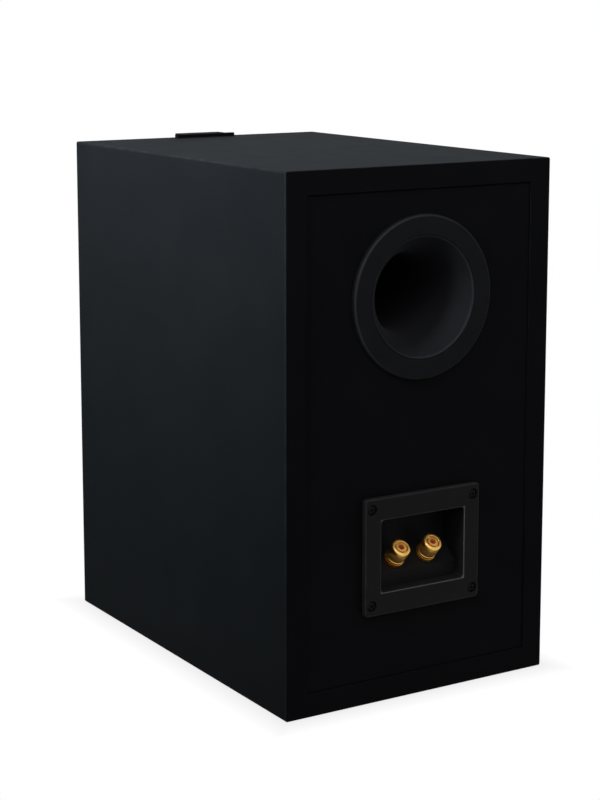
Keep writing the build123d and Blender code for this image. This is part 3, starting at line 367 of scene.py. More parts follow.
def paint_mouth_highlight(material, middle, half, width, paler):
    """Paints a highlight on a plate, paler along the rim of its recess, at its outer face."""
    tree = material.node_tree
    x, y, z = insets(tree, spot_on(tree), middle, half)
    beside = reckon(tree, "ABSOLUTE", reckon(tree, "MINIMUM", x, z))
    away = reckon(tree, "MAXIMUM", beside, reckon(tree, "ABSOLUTE", y))
    tint(material, between(tree, away, 1.0, 0.0, 0.0, width), paler)


plate_low, plate_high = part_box("terminal_cup")
face_middle, plate_half = (plate_low + plate_high) / 2, (plate_high - plate_low) / 2
face_middle.y, plate_half.y = plate_high.y, BEHIND.y
# Painted highlights round the mouth of the recess and along the plate's edges.
paint_mouth_highlight(cup_moulding, face_middle, RECESS_HALF, EDGE_WIDTH, RIM_HIGHLIGHT)
edge_wear_and_highlight(cup_moulding, face_middle - BEHIND, plate_half, EDGE_WIDTH, EDGE_HIGHLIGHT)
dress(cup_moulding, "terminal_cup")
gasket_foam = moulded("gasket_foam", (0.010, 0.010, 0.010), (0.022, 0.022, 0.022),
                      roughness=0.95, specular=0.1, grain=0.0006, depth=0.0002, patch=0.001)
dress(gasket_foam, "terminal_gasket", "woofer_gasket")


# Terminal screws: four pan-head wood screws with a cross recess, black zinc plated, through the plate's
# corners. Each stopped at its own angle when it was driven home.
HEAD_RADIUS, HEAD_HEIGHT, SHANK_RADIUS = 0.0032, 0.0017, 0.0016
HEAD_STEPS, CROWN_RINGS, SHANK_STEPS = 40, 48, 24
CROWN, TIP = 1.5, 0.5  # ball of the head's crown, in head radii, and the shank's tip, in shank radii
RECESS_LONG, RECESS_WIDE, RECESS_DEEP = 1.15, 0.27, 1.4  # the cross, in head radii and head heights
MOST_TURN, TURN_SEED = 3.0, 5


def tree_with(name, sockets):
    """Empty geometry tree with named inputs, and its input and output nodes."""
    made = bpy.data.node_groups.new(name, "GeometryNodeTree")
    made.interface.new_socket("Geometry", in_out="OUTPUT", socket_type="NodeSocketGeometry")
    for label, kind in sockets.items():
        made.interface.new_socket(label, in_out="INPUT", socket_type="NodeSocket" + kind)
    return made, node(made, "NodeGroupInput").outputs, node(made, "NodeGroupOutput")


def end_tree(tree, given, result, mesh):
    """Sets a tree's mesh in its place, makes it one plain mesh and gives it its finish."""
    moves = {0: mesh, "Translation": given["Place"]}
    if "Turn" in given:
        moves["Rotation"] = given["Turn"]
    placed = node(tree, "GeometryNodeTransform", moves).outputs[0]
    plain = node(tree, "GeometryNodeRealizeInstances", {0: placed}).outputs[0]
    finished = node(tree, "GeometryNodeSetMaterial", {0: plain, "Material": given["Finish"]}).outputs[0]
    tree.links.new(finished, result.inputs[0])


def grow(name, tree, values, body):
    """Runs a geometry tree on its input values and keeps the plain mesh that it makes, riding on a body."""
    piece = bpy.data.objects.new(name, bpy.data.meshes.new(name))
    bpy.context.scene.collection.objects.link(piece)
    modifier = piece.modifiers.new(name, "NODES")
    modifier.node_group = tree
    sockets = {item.name: item.identifier for item in tree.interface.items_tree if item.in_out == "INPUT"}
    for label, value in values.items():
        modifier[sockets[label]] = value
    evaluated = piece.evaluated_get(bpy.context.evaluated_depsgraph_get())
    mesh = bpy.data.meshes.new_from_object(evaluated)
    piece.modifiers.remove(modifier)
    piece.data = mesh
    smooth(mesh, sharp=32)
    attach(piece, body)
    return piece


screw_tree, given, result = tree_with("cross_head_screws", {
    "Across": "Float", "Up": "Float", "Head Radius": "Float", "Head Height": "Float", "Shank Radius": "Float",
    "Shank Length": "Float", "Place": "Vector", "Turn": "Rotation", "Finish": "Material"})


def times(value, factor):
    """One of the screw's sizes, multiplied."""
    return reckon(screw_tree, "MULTIPLY", value, factor)


def shifted(mesh, height):
    """A mesh moved along the screw's own axis."""
    move = node(screw_tree, "ShaderNodeCombineXYZ", {"Z": height}).outputs[0]
    return node(screw_tree, "GeometryNodeTransform", {0: mesh, "Translation": move}).outputs[0]


def slot_box(long, wide, deep):
    """One bar of the cross, to be cut out of the head."""
    size = node(screw_tree, "ShaderNodeCombineXYZ", {0: long, 1: wide, 2: deep}).outputs[0]
    return node(screw_tree, "GeometryNodeMeshCube", {"Size": size}).outputs[0]


head_radius, head_height = given["Head Radius"], given["Head Height"]
drum = node(screw_tree, "GeometryNodeMeshCylinder", {
    "Vertices": HEAD_STEPS, "Radius": head_radius, "Depth": times(head_height, 2.0)}).outputs[0]
ball_radius = times(head_radius, CROWN)
ball = node(screw_tree, "GeometryNodeMeshUVSphere", {
    "Segments": HEAD_STEPS, "Rings": CROWN_RINGS, "Radius": ball_radius}).outputs[0]
drop = reckon(screw_tree, "SUBTRACT", head_height, ball_radius)
domed = node(screw_tree, "GeometryNodeMeshBoolean", operation="INTERSECT", solver="EXACT")
for mesh in (drum, shifted(ball, drop)):
    screw_tree.links.new(mesh, domed.inputs["Mesh 2"])
recess_long, recess_wide = times(head_radius, RECESS_LONG), times(head_radius, RECESS_WIDE)
cross = node(screw_tree, "GeometryNodeMeshBoolean",
             {"Mesh 1": domed.outputs[0]}, operation="DIFFERENCE", solver="EXACT")
for long, wide in ((recess_long, recess_wide), (recess_wide, recess_long)):
    bar = slot_box(long, wide, times(head_height, RECESS_DEEP))
    screw_tree.links.new(shifted(bar, head_height), cross.inputs["Mesh 2"])
shank = node(screw_tree, "GeometryNodeMeshCone", {
    "Vertices": SHANK_STEPS, "Radius Top": given["Shank Radius"],
    "Radius Bottom": times(given["Shank Radius"], TIP), "Depth": given["Shank Length"]}).outputs[0]
screw = node(screw_tree, "GeometryNodeJoinGeometry")
screw_tree.links.new(cross.outputs[0], screw.inputs[0])
screw_tree.links.new(shifted(shank, times(given["Shank Length"], -1.0)), screw.inputs[0])
corners = node(screw_tree, "GeometryNodeMeshGrid", {
    "Size X": given["Across"], "Size Y": given["Up"], "Vertices X": 2, "Vertices Y": 2}).outputs[0]
angle = node(screw_tree, "FunctionNodeRandomValue", {"Max": MOST_TURN, "Seed": TURN_SEED}, data_type="FLOAT")
angle = next(socket for socket in angle.outputs if socket.enabled)
twist = node(screw_tree, "ShaderNodeCombineXYZ", {"Z": angle}).outputs[0]
set_out = node(screw_tree, "GeometryNodeInstanceOnPoints", {
    "Points": corners, "Instance": screw.outputs[0], "Rotation": twist}).outputs[0]
end_tree(screw_tree, given, result, set_out)

black_zinc = moulded("black_zinc", (0.004, 0.004, 0.005), (0.009, 0.009, 0.010),
                     roughness=0.30, specular=0.06, grain=0.0002, depth=0.000004, patch=0.002)


def drive_screws(name, row, backwards):
    """Four screws in the place of a CAD node's row, with their heads to the back or to the front."""
    low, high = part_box(row)
    seat = high.y - HEAD_HEIGHT if backwards else low.y + HEAD_HEIGHT
    screws = grow(name, screw_tree, {
        "Across": high.x - low.x - 2 * HEAD_RADIUS, "Up": high.z - low.z - 2 * HEAD_RADIUS,
        "Head Radius": HEAD_RADIUS, "Head Height": HEAD_HEIGHT, "Shank Radius": SHANK_RADIUS,
        "Shank Length": high.y - low.y - HEAD_HEIGHT, "Place": (0, seat, (low.z + high.z) / 2),
        "Turn": (-math.pi / 2 if backwards else math.pi / 2, 0, 0), "Finish": black_zinc},
        "cabinet")
    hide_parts(row)


drive_screws("terminal_plate_screws", "terminal_screws", backwards=True)


# Binding posts: gold plated brass studs through the ramp, each with a coloured collar, a clamp washer and a
# turned cap that screws down on bare wire or a spade. The caps are polished, with a fine straight knurl.
# The plug socket bored into each stud's end is left bare.
GOLD_DARK, GOLD_LIGHT, GOLD_ROUGH = (0.68, 0.385, 0.088), (0.81, 0.495, 0.140), 0.39
BARE_BRASS, BARE_ROUGH, BORE_START, BORE_END = (0.80, 0.28, 0.09, 1), 0.75, 0.00207, 0.00215
SMEAR, SMEAR_GLOSS, TURNING, TURNING_DEPTH = 0.004, 0.0015, 0.00025, 0.0000015
CAP_RADIUS, CAP_LENGTH, CAP_BORE, CAP_STEPS = 0.0067, 0.0124, 0.00372, 96
END_ROUND, FOOT_ROUND = 0.0011, 0.0004
GROOVE_RADIUS, GROOVE_DEPTH, GROOVE_EDGE = 0.0047, 0.0016, 0.0002
KNURL_START, KNURL_END, KNURL_RIDGES, KNURL_DEPTH = 0.0021, 0.0082, 48, 0.00022
WAIST_DEPTH = 0.00028


def plated(name, dark, light, roughness, smear=0.05):
    """Polished plating with faint turning lines and finger smears."""
    material, tree, shader, place = blank(name, roughness, specular=0.5, metallic=1.0)
    smears = mottle(tree, place, SMEAR)
    tree.links.new(two_tone(tree, smears, dark, light), shader.inputs["Base Color"])
    gloss = between(tree, mottle(tree, place, SMEAR_GLOSS), roughness - smear, roughness + smear)
    tree.links.new(gloss, shader.inputs["Roughness"])
    raise_grain(tree, shader, mottle(tree, place, TURNING, detail=2.0), TURNING_DEPTH)
    return material


def cap_turn(pole):
    """The joint that a post's cap turns on."""
    return next(joint for joint in frame["joints"] if joint["name"] == pole + "_cap_turn")


gold = plated("gold_plating", GOLD_DARK, GOLD_LIGHT, GOLD_ROUGH)
dress(gold, "clamp_washer_positive", "clamp_washer_negative")
stud_gold = plated("stud_plating", GOLD_DARK, GOLD_LIGHT, GOLD_ROUGH)
tree = stud_gold.node_tree
joint = cap_turn("positive")
x, y, z = node(tree, "ShaderNodeSeparateXYZ", {0: spot_on(tree)}).outputs
folded = node(tree, "ShaderNodeCombineXYZ", {0: reckon(tree, "ABSOLUTE", x), 1: y, 2: z}).outputs[0]
offset = reckon_vector(tree, "SUBTRACT", folded, joint["pos_m"])
radius = reckon_vector(tree, "LENGTH", reckon_vector(tree, "CROSS_PRODUCT", offset, joint["axis"]))
bored = between(tree, radius, 1.0, 0.0, BORE_START, BORE_END)
tint(stud_gold, bored, BARE_BRASS)
tree.links.new(between(tree, bored, GOLD_ROUGH, BARE_ROUGH, 0.0, 1.0),
               tree.nodes["Principled BSDF"].inputs["Roughness"])
dress(stud_gold, "post_stud_positive", "post_stud_negative")
dress(moulded("red_nylon", (0.36, 0.012, 0.012), (0.50, 0.022, 0.018), roughness=0.4, specular=0.5,
              grain=0.0003, depth=0.00001), "post_collar_positive")
dress(moulded("black_nylon", (0.012, 0.012, 0.012), (0.018, 0.018, 0.018), roughness=0.4, specular=0.5,
              grain=0.0003, depth=0.00001), "post_collar_negative")


def turned(name, outline, place, steps):
    """Ring mesh: a closed outline of radius and height turned about the local Z axis, then put in its place."""
    work = bmesh.new()
    turns = [2 * math.pi * i / steps for i in range(steps)]
    rings = []
    for radius, height in outline:
        spots = [Vector((radius * math.cos(a), radius * math.sin(a), height)) for a in turns]
        rings.append([work.verts.new(place @ spot) for spot in spots])
    for here, after in zip(rings, rings[1:] + rings[:1]):
        for i in range(steps):
            work.faces.new([here[i], here[(i + 1) % steps], after[(i + 1) % steps], after[i]])
    return keep(name, work, sharp=35)


def arc(centre, radius, start, end, steps=6):
    """Points of a round stretch of an outline, between two angles in degrees."""
    turns = [math.radians(start + (end - start) * i / steps) for i in range(steps + 1)]
    return [(centre[0] + radius * math.cos(a), centre[1] + radius * math.sin(a)) for a in turns]


knurl_tree, given, result = tree_with("straight_knurl", {
    "Blank": "Object", "Radius": "Float", "Start": "Float", "End": "Float", "Ridges": "Int", "Depth": "Float",
    "Place": "Vector", "Turn": "Rotation", "Finish": "Material"})
length = reckon(knurl_tree, "SUBTRACT", given["End"], given["Start"])
middle = reckon(knurl_tree, "MULTIPLY", reckon(knurl_tree, "ADD", given["End"], given["Start"]), 0.5)
ridge = node(knurl_tree, "GeometryNodeMeshCylinder",
             {"Vertices": 4, "Radius": given["Depth"], "Depth": length}, fill_type="NGON").outputs[0]
ring = node(knurl_tree, "GeometryNodeMeshCircle", {
    "Vertices": given["Ridges"], "Radius": given["Radius"]}).outputs[0]
step = reckon(knurl_tree, "DIVIDE", 2 * math.pi, given["Ridges"])
count = node(knurl_tree, "GeometryNodeInputIndex").outputs[0]
spin = node(knurl_tree, "ShaderNodeCombineXYZ", {"Z": reckon(knurl_tree, "MULTIPLY", count, step)}).outputs[0]
ridges = node(knurl_tree, "GeometryNodeInstanceOnPoints", {
    "Points": ring, "Instance": ridge, "Rotation": spin}).outputs[0]
half_way = node(knurl_tree, "ShaderNodeCombineXYZ", {"Z": middle}).outputs[0]
ridges = node(knurl_tree, "GeometryNodeTransform", {0: ridges, "Translation": half_way}).outputs[0]
cap_body = node(knurl_tree, "GeometryNodeObjectInfo", {"Object": given["Blank"]}).outputs["Geometry"]
whole = node(knurl_tree, "GeometryNodeJoinGeometry")
for mesh in (cap_body, ridges):
    knurl_tree.links.new(mesh, whole.inputs[0])
end_tree(knurl_tree, given, result, whole.outputs[0])

waist = CAP_RADIUS - WAIST_DEPTH
cap_outline = [
    (CAP_BORE, 0.0), *arc((CAP_RADIUS - FOOT_ROUND, FOOT_ROUND), FOOT_ROUND, -90, 0),
    (CAP_RADIUS, KNURL_START - WAIST_DEPTH), (waist, KNURL_START), (waist, KNURL_END),
    (CAP_RADIUS, KNURL_END + WAIST_DEPTH),
    *arc((CAP_RADIUS - END_ROUND, CAP_LENGTH - END_ROUND), END_ROUND, 0, 90),
    (GROOVE_RADIUS + GROOVE_EDGE, CAP_LENGTH), (GROOVE_RADIUS, CAP_LENGTH - GROOVE_EDGE),
    (GROOVE_RADIUS, CAP_LENGTH - GROOVE_DEPTH), (CAP_BORE, CAP_LENGTH - GROOVE_DEPTH)]
cap_blank = turned("cap_blank", cap_outline, Matrix.Identity(4), CAP_STEPS)
for pole in ("positive", "negative"):
    joint = cap_turn(pole)
    lean = Vector((0, 0, 1)).rotation_difference(Vector(joint["axis"])).to_euler()
    cap = grow("knurled_cap_" + pole, knurl_tree, {
        "Blank": cap_blank, "Radius": waist, "Start": KNURL_START, "End": KNURL_END, "Ridges": KNURL_RIDGES,
        "Depth": KNURL_DEPTH, "Place": joint["pos_m"], "Turn": tuple(lean), "Finish": gold},
        pole + "_cap")
    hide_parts("post_cap_" + pole)
bpy.data.objects.remove(cap_blank)


# Nuts and solder lugs: a plated hexagon nut and a tinned lug on each stud's tail, behind the cup.
# The input leads are soldered to the lugs. The board's screws and the drive units' tabs are plated alike.
zinc = plated("zinc_plating", (0.50, 0.51, 0.53), (0.66, 0.67, 0.69), roughness=0.34)
tinned = plated("tinned_brass", (0.60, 0.58, 0.52), (0.76, 0.74, 0.68), roughness=0.38)
dress(zinc, "post_nuts", "board_screws")
dress(tinned, "solder_lugs", "woofer_terminal_strip", "tweeter_terminals")


# Crossover: a green laminate board on four nylon standoffs screwed to the floor of the box, with two air-cored
# coils of enamelled copper, two film capacitors and two cement resistors, all glued down.
TRACK_DARK, TRACK_LIGHT, TRACK_RELIEF = (0.020, 0.085, 0.035), (0.035, 0.135, 0.060), 0.00003
CHEEK, CHANNEL = 0.0015, 0.0025  # thickness of a bobbin's cheeks, and depth of the channel between them
END_SPACE, SEAT, GRIP = 2.5, 1.1, 1.05  # room at the ends, off the cheek and off the core, in wire radii
laminate, tree, shader, place = blank("laminate", roughness=0.35, specular=0.5)
cells = node(tree, "ShaderNodeTexVoronoi", {"Vector": place, "Scale": 90.0}, distance="CHEBYCHEV")
cells = cells.outputs["Distance"]
tracks = two_tone(tree, cells, TRACK_DARK, TRACK_LIGHT, start=0.30, end=0.34)
tree.links.new(tracks, shader.inputs["Base Color"])
raise_grain(tree, shader, cells, TRACK_RELIEF)
dress(laminate, "crossover_board")
dress(moulded("nylon", (0.60, 0.60, 0.56), (0.70, 0.70, 0.66), roughness=0.5, specular=0.5,
              grain=0.0004, depth=0.00001), "board_standoffs")
dress(moulded("bobbin_plastic", (0.012, 0.012, 0.013), (0.018, 0.018, 0.019), roughness=0.45, specular=0.5,
              grain=0.0004, depth=0.00001), "woofer_inductor", "tweeter_inductor")
dress(moulded("capacitor_wrap", (0.52, 0.34, 0.03), (0.66, 0.46, 0.06), roughness=0.3, specular=0.5,
              grain=0.001, depth=0.00002), "woofer_capacitor", "tweeter_capacitor")
dress(moulded("cement", (0.58, 0.57, 0.54), (0.72, 0.71, 0.68), roughness=0.9, specular=0.2,
              grain=0.0005, depth=0.0001, patch=0.004), "resistors")

coil_tree, given, result = tree_with("coil_winding", {
    "Turns": "Float", "Radius": "Float", "Height": "Float", "Wire Radius": "Float", "Place": "Vector",
    "Finish": "Material"})
helix = node(coil_tree, "GeometryNodeCurveSpiral", {
    "Resolution": 40, "Rotations": given["Turns"], "Start Radius": given["Radius"],
    "End Radius": given["Radius"], "Height": given["Height"]}).outputs[0]
wire = node(coil_tree, "GeometryNodeCurvePrimitiveCircle", {
    "Resolution": 8, "Radius": given["Wire Radius"]}).outputs[0]
wound = node(coil_tree, "GeometryNodeCurveToMesh", {
    "Curve": helix, "Profile Curve": wire, "Fill Caps": True}).outputs[0]
end_tree(coil_tree, given, result, wound)
copper = plated("enamelled_copper", (0.50, 0.18, 0.07), (0.66, 0.28, 0.12), roughness=0.28)
for bobbin, turns in (("woofer_inductor", 15), ("tweeter_inductor", 9)):
    low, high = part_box(bobbin)
    wire_radius = (high.z - low.z - 2 * CHEEK) / (2 * turns + END_SPACE)
    grow(bobbin + "_winding", coil_tree, {
        "Turns": float(turns), "Radius": (high.x - low.x) / 2 - CHANNEL + wire_radius * GRIP,
        "Height": high.z - low.z - 2 * CHEEK - 2 * SEAT * wire_radius, "Wire Radius": wire_radius,
        "Place": ((low.x + high.x) / 2, (low.y + high.y) / 2, low.z + CHEEK + SEAT * wire_radius),
        "Finish": copper}, "cabinet")


# Leads: stranded copper in soft sleeving, soldered or pushed on at the ends and held inside the box.
# From the posts to the board run one red and one black; the woofer's pair is black and the tweeter's red.
SLEEVE_BLACK, SLEEVE_RED = (0.012, 0.012, 0.012), (0.35, 0.015, 0.012)
SLEEVE_ROUGH, SLEEVE_SPECULAR, SLEEVE_GRAIN, SLEEVE_RELIEF = 0.55, 0.4, 0.0008, 0.00003
SPLIT = 0.0001  # half the width over which the input leads change colour, midway between them
input_sleeve, tree, shader, place = blank("input_sleeve", SLEEVE_ROUGH, SLEEVE_SPECULAR)
side = node(tree, "ShaderNodeSeparateXYZ", {0: place}).outputs["X"]
which = between(tree, side, 0.0, 1.0, -SPLIT, SPLIT)
tree.links.new(two_tone(tree, which, SLEEVE_BLACK, SLEEVE_RED), shader.inputs["Base Color"])
raise_grain(tree, shader, mottle(tree, place, SLEEVE_GRAIN), SLEEVE_RELIEF)
dress(input_sleeve, "input_leads")
dress(moulded("woofer_sleeve", SLEEVE_BLACK, (0.020, 0.020, 0.020), SLEEVE_ROUGH, SLEEVE_SPECULAR,
              SLEEVE_GRAIN, SLEEVE_RELIEF), "woofer_leads")
dress(moulded("tweeter_sleeve", (0.24, 0.010, 0.009), (0.34, 0.016, 0.014), SLEEVE_ROUGH, SLEEVE_SPECULAR,
              SLEEVE_GRAIN, SLEEVE_RELIEF), "tweeter_leads")


# Woofer frame and motor: a pressed steel basket in black enamel, with a ferrite ring between steel plates.
# Six screws hold it to the baffle, under a satin trim ring that snaps over its rim.
# The tweeter's small motor, in its rear cup, has the same finishes.
SATIN_DARK, SATIN_LIGHT = (0.0125, 0.0125, 0.0135), (0.0160, 0.0160, 0.0172)
SATIN_GRAIN, SATIN_RELIEF = 0.0003, 0.000008
enamel = moulded("basket_enamel", (0.014, 0.014, 0.015), (0.020, 0.020, 0.021), roughness=0.38, specular=0.5,
                 grain=0.0006, depth=0.00002)
iron = plated("passivated_iron", (0.42, 0.42, 0.42), (0.56, 0.56, 0.55), roughness=0.36)
ferrite = moulded("ferrite", (0.045, 0.045, 0.048), (0.070, 0.070, 0.074), roughness=0.75, specular=0.4,
                  grain=0.0005, depth=0.00006, patch=0.006)
trim_satin = moulded("trim_satin", SATIN_DARK, SATIN_LIGHT, roughness=0.38, specular=0.16,
                     grain=SATIN_GRAIN, depth=SATIN_RELIEF)
dress(enamel, "woofer_basket", "tweeter_rear_cup")
dress(iron, "woofer_top_plate", "woofer_yoke", "tweeter_top_plate", "tweeter_yoke")
dress(ferrite, "woofer_magnet", "tweeter_magnet")
dress(black_zinc, "woofer_screws")
dress(trim_satin, "woofer_trim_ring")


# Woofer cone, dust cap and voice coil: a pressed cone of mineral-filled polymer with faint moulding rings,
# and a smooth cap glued over its neck. The coil of enamelled copper is wound on a thin former glued into
# the neck, and the tweeter's coil is of the same wire.
CONE_DARK, CONE_LIGHT, CONE_SPECK = (0.018, 0.018, 0.020), (0.034, 0.034, 0.037), 0.0006
RING_PITCH, RING_RELIEF = 0.0022, 0.00004
PATTERN_PITCH = 0.314  # metres from crest to crest of the wave pattern, at a scale of 1
woofer_low, woofer_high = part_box("woofer_surround")
woofer_z = (woofer_low.z + woofer_high.z) / 2
cone_polymer, tree, shader, place = blank("cone_polymer", roughness=0.42, specular=0.14)
centred = node(tree, "ShaderNodeMapping", {"Vector": place, "Location": (0, 0, -woofer_z)}).outputs[0]
rings = node(tree, "ShaderNodeTexWave",
             {"Vector": centred, "Scale": PATTERN_PITCH / RING_PITCH, "Distortion": 0.4},
             wave_type="RINGS", rings_direction="Y").outputs["Fac"]
specks = mottle(tree, place, CONE_SPECK, detail=1.0)
tree.links.new(two_tone(tree, specks, CONE_DARK, CONE_LIGHT, start=0.45, end=0.72), shader.inputs["Base Color"])
raise_grain(tree, shader, rings, RING_RELIEF)
dress(cone_polymer, "woofer_cone")
dress(moulded("cap_gloss", (0.013, 0.013, 0.014), (0.017, 0.017, 0.018), roughness=0.3, specular=0.22,
              grain=0.0005, depth=0.000008), "woofer_dust_cap")
dress(moulded("former_film", (0.26, 0.13, 0.03), (0.38, 0.22, 0.06), roughness=0.3, specular=0.5,
              grain=0.0005, depth=0.00001), "voice_coil_former")
dress(copper, "voice_coil_winding", "tweeter_voice_coil")


# Woofer surround and spider: a half roll of butyl rubber and a corrugated disc of resin-dipped cloth.
# They carry the cone, held at the rim by the frame, and roll as it moves.
RUBBER, ROLL_INNER, ROLL_OUTER, CONE_LAND, ROLL_STEPS = 0.0006, 0.058, 0.0675, 0.0548, 160
CLOTH, SPIDER_HUB, SPIDER_STEPS = 0.0006, 0.0152, 120
CREST, WAVE_INNER, WAVE_OUTER, WAVES, WAVE_STEPS = 0.0011, 0.018, 0.048, 5, 60


def follow(piece):
    """Bakes a ring's place into its mesh."""
    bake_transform(piece)


def facing_front(y, z):
    """Place on the front, with the local Z axis running back into the cabinet."""
    return Matrix.Translation((0, y, z)) @ Matrix.Rotation(-math.pi / 2, 4, "X")


def roll_outline(inner, outer, rise, skin, steps=20):
    """Front and back of a half roll, as radius and depth behind its lands."""
    middle, half = (inner + outer) / 2, (outer - inner) / 2
    turns = [math.pi * i / steps for i in range(steps + 1)]
    front = [(middle - half * math.cos(a), -rise * math.sin(a)) for a in turns]
    back = [(middle + (half - skin) * math.cos(a), -(rise - skin) * math.sin(a)) for a in turns]
    return front, back


roll_rise = woofer_high.y - woofer_low.y - RUBBER
frame_land = (woofer_high.x - woofer_low.x) / 2
front, back = roll_outline(ROLL_INNER, ROLL_OUTER, roll_rise, RUBBER)
surround_outline = [
    (CONE_LAND, 0), *front, (frame_land, 0), (frame_land, RUBBER), (ROLL_OUTER - RUBBER, RUBBER),
    *back, (ROLL_INNER + RUBBER, RUBBER), (CONE_LAND, RUBBER)]
surround_place = facing_front(woofer_high.y - RUBBER, woofer_z)
surround = turned("rubber_surround", surround_outline, surround_place, ROLL_STEPS)
rubber = moulded("butyl_rubber", (0.0105, 0.0105, 0.0110), (0.0150, 0.0150, 0.0156),
                 roughness=0.48, specular=0.10, grain=0.0007, depth=0.00001, patch=0.02)
surround.data.materials.append(rubber)
follow(surround)
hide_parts("woofer_surround")

spider_low, spider_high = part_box("woofer_spider")
spider_rim = (spider_high.x - spider_low.x) / 2
wave = []
for i in range(WAVE_STEPS + 1):
    share = i / WAVE_STEPS
    radius = WAVE_INNER + (WAVE_OUTER - WAVE_INNER) * share
    wave.append((radius, CREST * math.sin(2 * math.pi * WAVES * share)))
spider_outline = [
    (SPIDER_HUB, 0), *wave, (spider_rim, 0), (spider_rim, CLOTH),
    *[(radius, depth + CLOTH) for radius, depth in reversed(wave)], (SPIDER_HUB, CLOTH)]
spider_place = facing_front((spider_low.y + spider_high.y - CLOTH) / 2, woofer_z)
spider = turned("cloth_spider", spider_outline, spider_place, SPIDER_STEPS)


def woven(name, dark, light, roughness, thread, depth, turn=0.0):
    """Plain weave across X and Z, with threads of a given width."""
    material, tree, shader, place = blank(name, roughness, specular=0.10)
    laid = node(tree, "ShaderNodeMapping", {"Vector": place, "Rotation": (0, turn, 0)}).outputs[0]
    threads = {"Vector": laid, "Scale": PATTERN_PITCH / (2 * thread)}
    warp, weft = (node(tree, "ShaderNodeTexWave", threads, bands_direction=way).outputs["Fac"] for way in "XZ")
    weave = reckon(tree, "MULTIPLY", warp, weft)
    tree.links.new(two_tone(tree, weave, dark, light, start=0.0, end=0.8), shader.inputs["Base Color"])
    raise_grain(tree, shader, weave, depth)
    return material


dipped_cloth = woven("dipped_cloth", (0.36, 0.24, 0.10), (0.60, 0.44, 0.22), roughness=0.8,
                     thread=0.0006, depth=0.0001)
spider.data.materials.append(dipped_cloth)
follow(spider)
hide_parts("woofer_spider")


# Tinsel leads: two limp leads of braided copper from the frame's tabs to the back of the cone.
# They are slack enough for its stroke, held at both ends, and bend between them as it moves.
BRAID_DARK, BRAID_LIGHT, BRAID_RELIEF = (0.38, 0.20, 0.10), (0.70, 0.42, 0.25), 0.0001
SAME_POINT = 0.000001
braid, tree, shader, place = blank("tinsel_braid", roughness=0.4, specular=0.5, metallic=1.0)
plait = node(tree, "ShaderNodeTexWave", {"Vector": place, "Scale": 500.0, "Distortion": 2.0},
             bands_direction="DIAGONAL").outputs["Fac"]
tree.links.new(two_tone(tree, plait, BRAID_DARK, BRAID_LIGHT), shader.inputs["Base Color"])
raise_grain(tree, shader, plait, BRAID_RELIEF)
work = bmesh.new()
work.from_mesh(frame["nodes"]["tinsel_leads"].data)
bmesh.ops.remove_doubles(work, verts=work.verts, dist=SAME_POINT)
tinsel = keep("braided_tinsel", work)
tinsel.data.materials.clear()
tinsel.data.materials.append(braid)
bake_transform(tinsel)
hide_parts("tinsel_leads")


# Tweeter: a satin moulded waveguide plate on four screws, whose tongue hooks over the cabinet's top edge and
# is darker there. A dome of coated cloth and its fine roll surround sit in the middle, on a small ferrite
# motor with a closed cup.
WAVEGUIDE_SHEEN, TONGUE_SHEEN = 0.05, 0.004
TONGUE_DARK, TONGUE_START = (0.0048, 0.0050, 0.0056, 1), 0.0005
DOME_SKIN, FINE_INNER, FINE_OUTER, CLAMP, FINE_STEPS = 0.00025, 0.01275, 0.0162, 0.0005, 128
waveguide_satin = moulded("waveguide_satin", SATIN_DARK, SATIN_LIGHT, roughness=0.50,
                          specular=WAVEGUIDE_SHEEN, grain=SATIN_GRAIN, depth=SATIN_RELIEF)
tree = waveguide_satin.node_tree
height = node(tree, "ShaderNodeSeparateXYZ", {0: spot_on(tree)}).outputs["Z"]
over_top = between(tree, height, 0.0, 1.0, wrap_high.z, wrap_high.z + TONGUE_START)
tint(waveguide_satin, over_top, TONGUE_DARK)
tree.links.new(between(tree, over_top, WAVEGUIDE_SHEEN, TONGUE_SHEEN, 0.0, 1.0),
               tree.nodes["Principled BSDF"].inputs["Specular IOR Level"])
dress(waveguide_satin, "tweeter_waveguide")
drive_screws("waveguide_screws", "tweeter_screws", backwards=False)

dome_low, dome_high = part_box("tweeter_dome")
tweeter_z = (dome_low.z + dome_high.z) / 2
coated_cloth = woven("coated_cloth", (0.010, 0.010, 0.011), (0.022, 0.022, 0.024), roughness=0.5,
                     thread=0.00022, depth=0.00002, turn=0.6)
dress(coated_cloth, "tweeter_dome")
roll_low, roll_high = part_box("tweeter_surround")
front, back = roll_outline(FINE_INNER, FINE_OUTER, roll_high.y - roll_low.y - CLAMP, DOME_SKIN)
clamp_edge = (roll_high.x - roll_low.x) / 2
fine_outline = [*front, (clamp_edge, 0), (clamp_edge, CLAMP), (FINE_OUTER - DOME_SKIN, CLAMP), *back]
fine_roll = turned("dome_roll", fine_outline, facing_front(roll_high.y - CLAMP, tweeter_z), FINE_STEPS)
fine_roll.data.materials.append(coated_cloth)
follow(fine_roll)
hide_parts("tweeter_surround")


# Studio: a floor and surroundings that are white to the eye and throw little light on the speaker.
# The floor keeps a faint shadow close to the box. The light comes from three soft boxes: one high on the left
# of the picture, one high on the camera's side, and one low in front of the drive units.
FLOOR_HALF, FLOOR_STEPS, FLOOR_DROP = 1.2, 8, 0.0003
SHADOW_SHARE, SHADOW_REACH = 0.20, 0.02
WHITE, PAPER, BOUNCE, AMBIENT = (1, 1, 1, 1), (0.9, 0.9, 0.9, 1), (0.12, 0.12, 0.12, 1), 0.13


def looked_at(tree):
    """1 for rays from the camera and for those by way of gloss or glass, 0 for rays that only light things."""
    rays = node(tree, "ShaderNodeLightPath").outputs
    eye = reckon(tree, "ADD", rays["Is Camera Ray"], rays["Is Glossy Ray"])
    return node(tree, "ShaderNodeMath", {0: eye, 1: rays["Is Transmission Ray"]}, use_clamp=True).outputs[0]


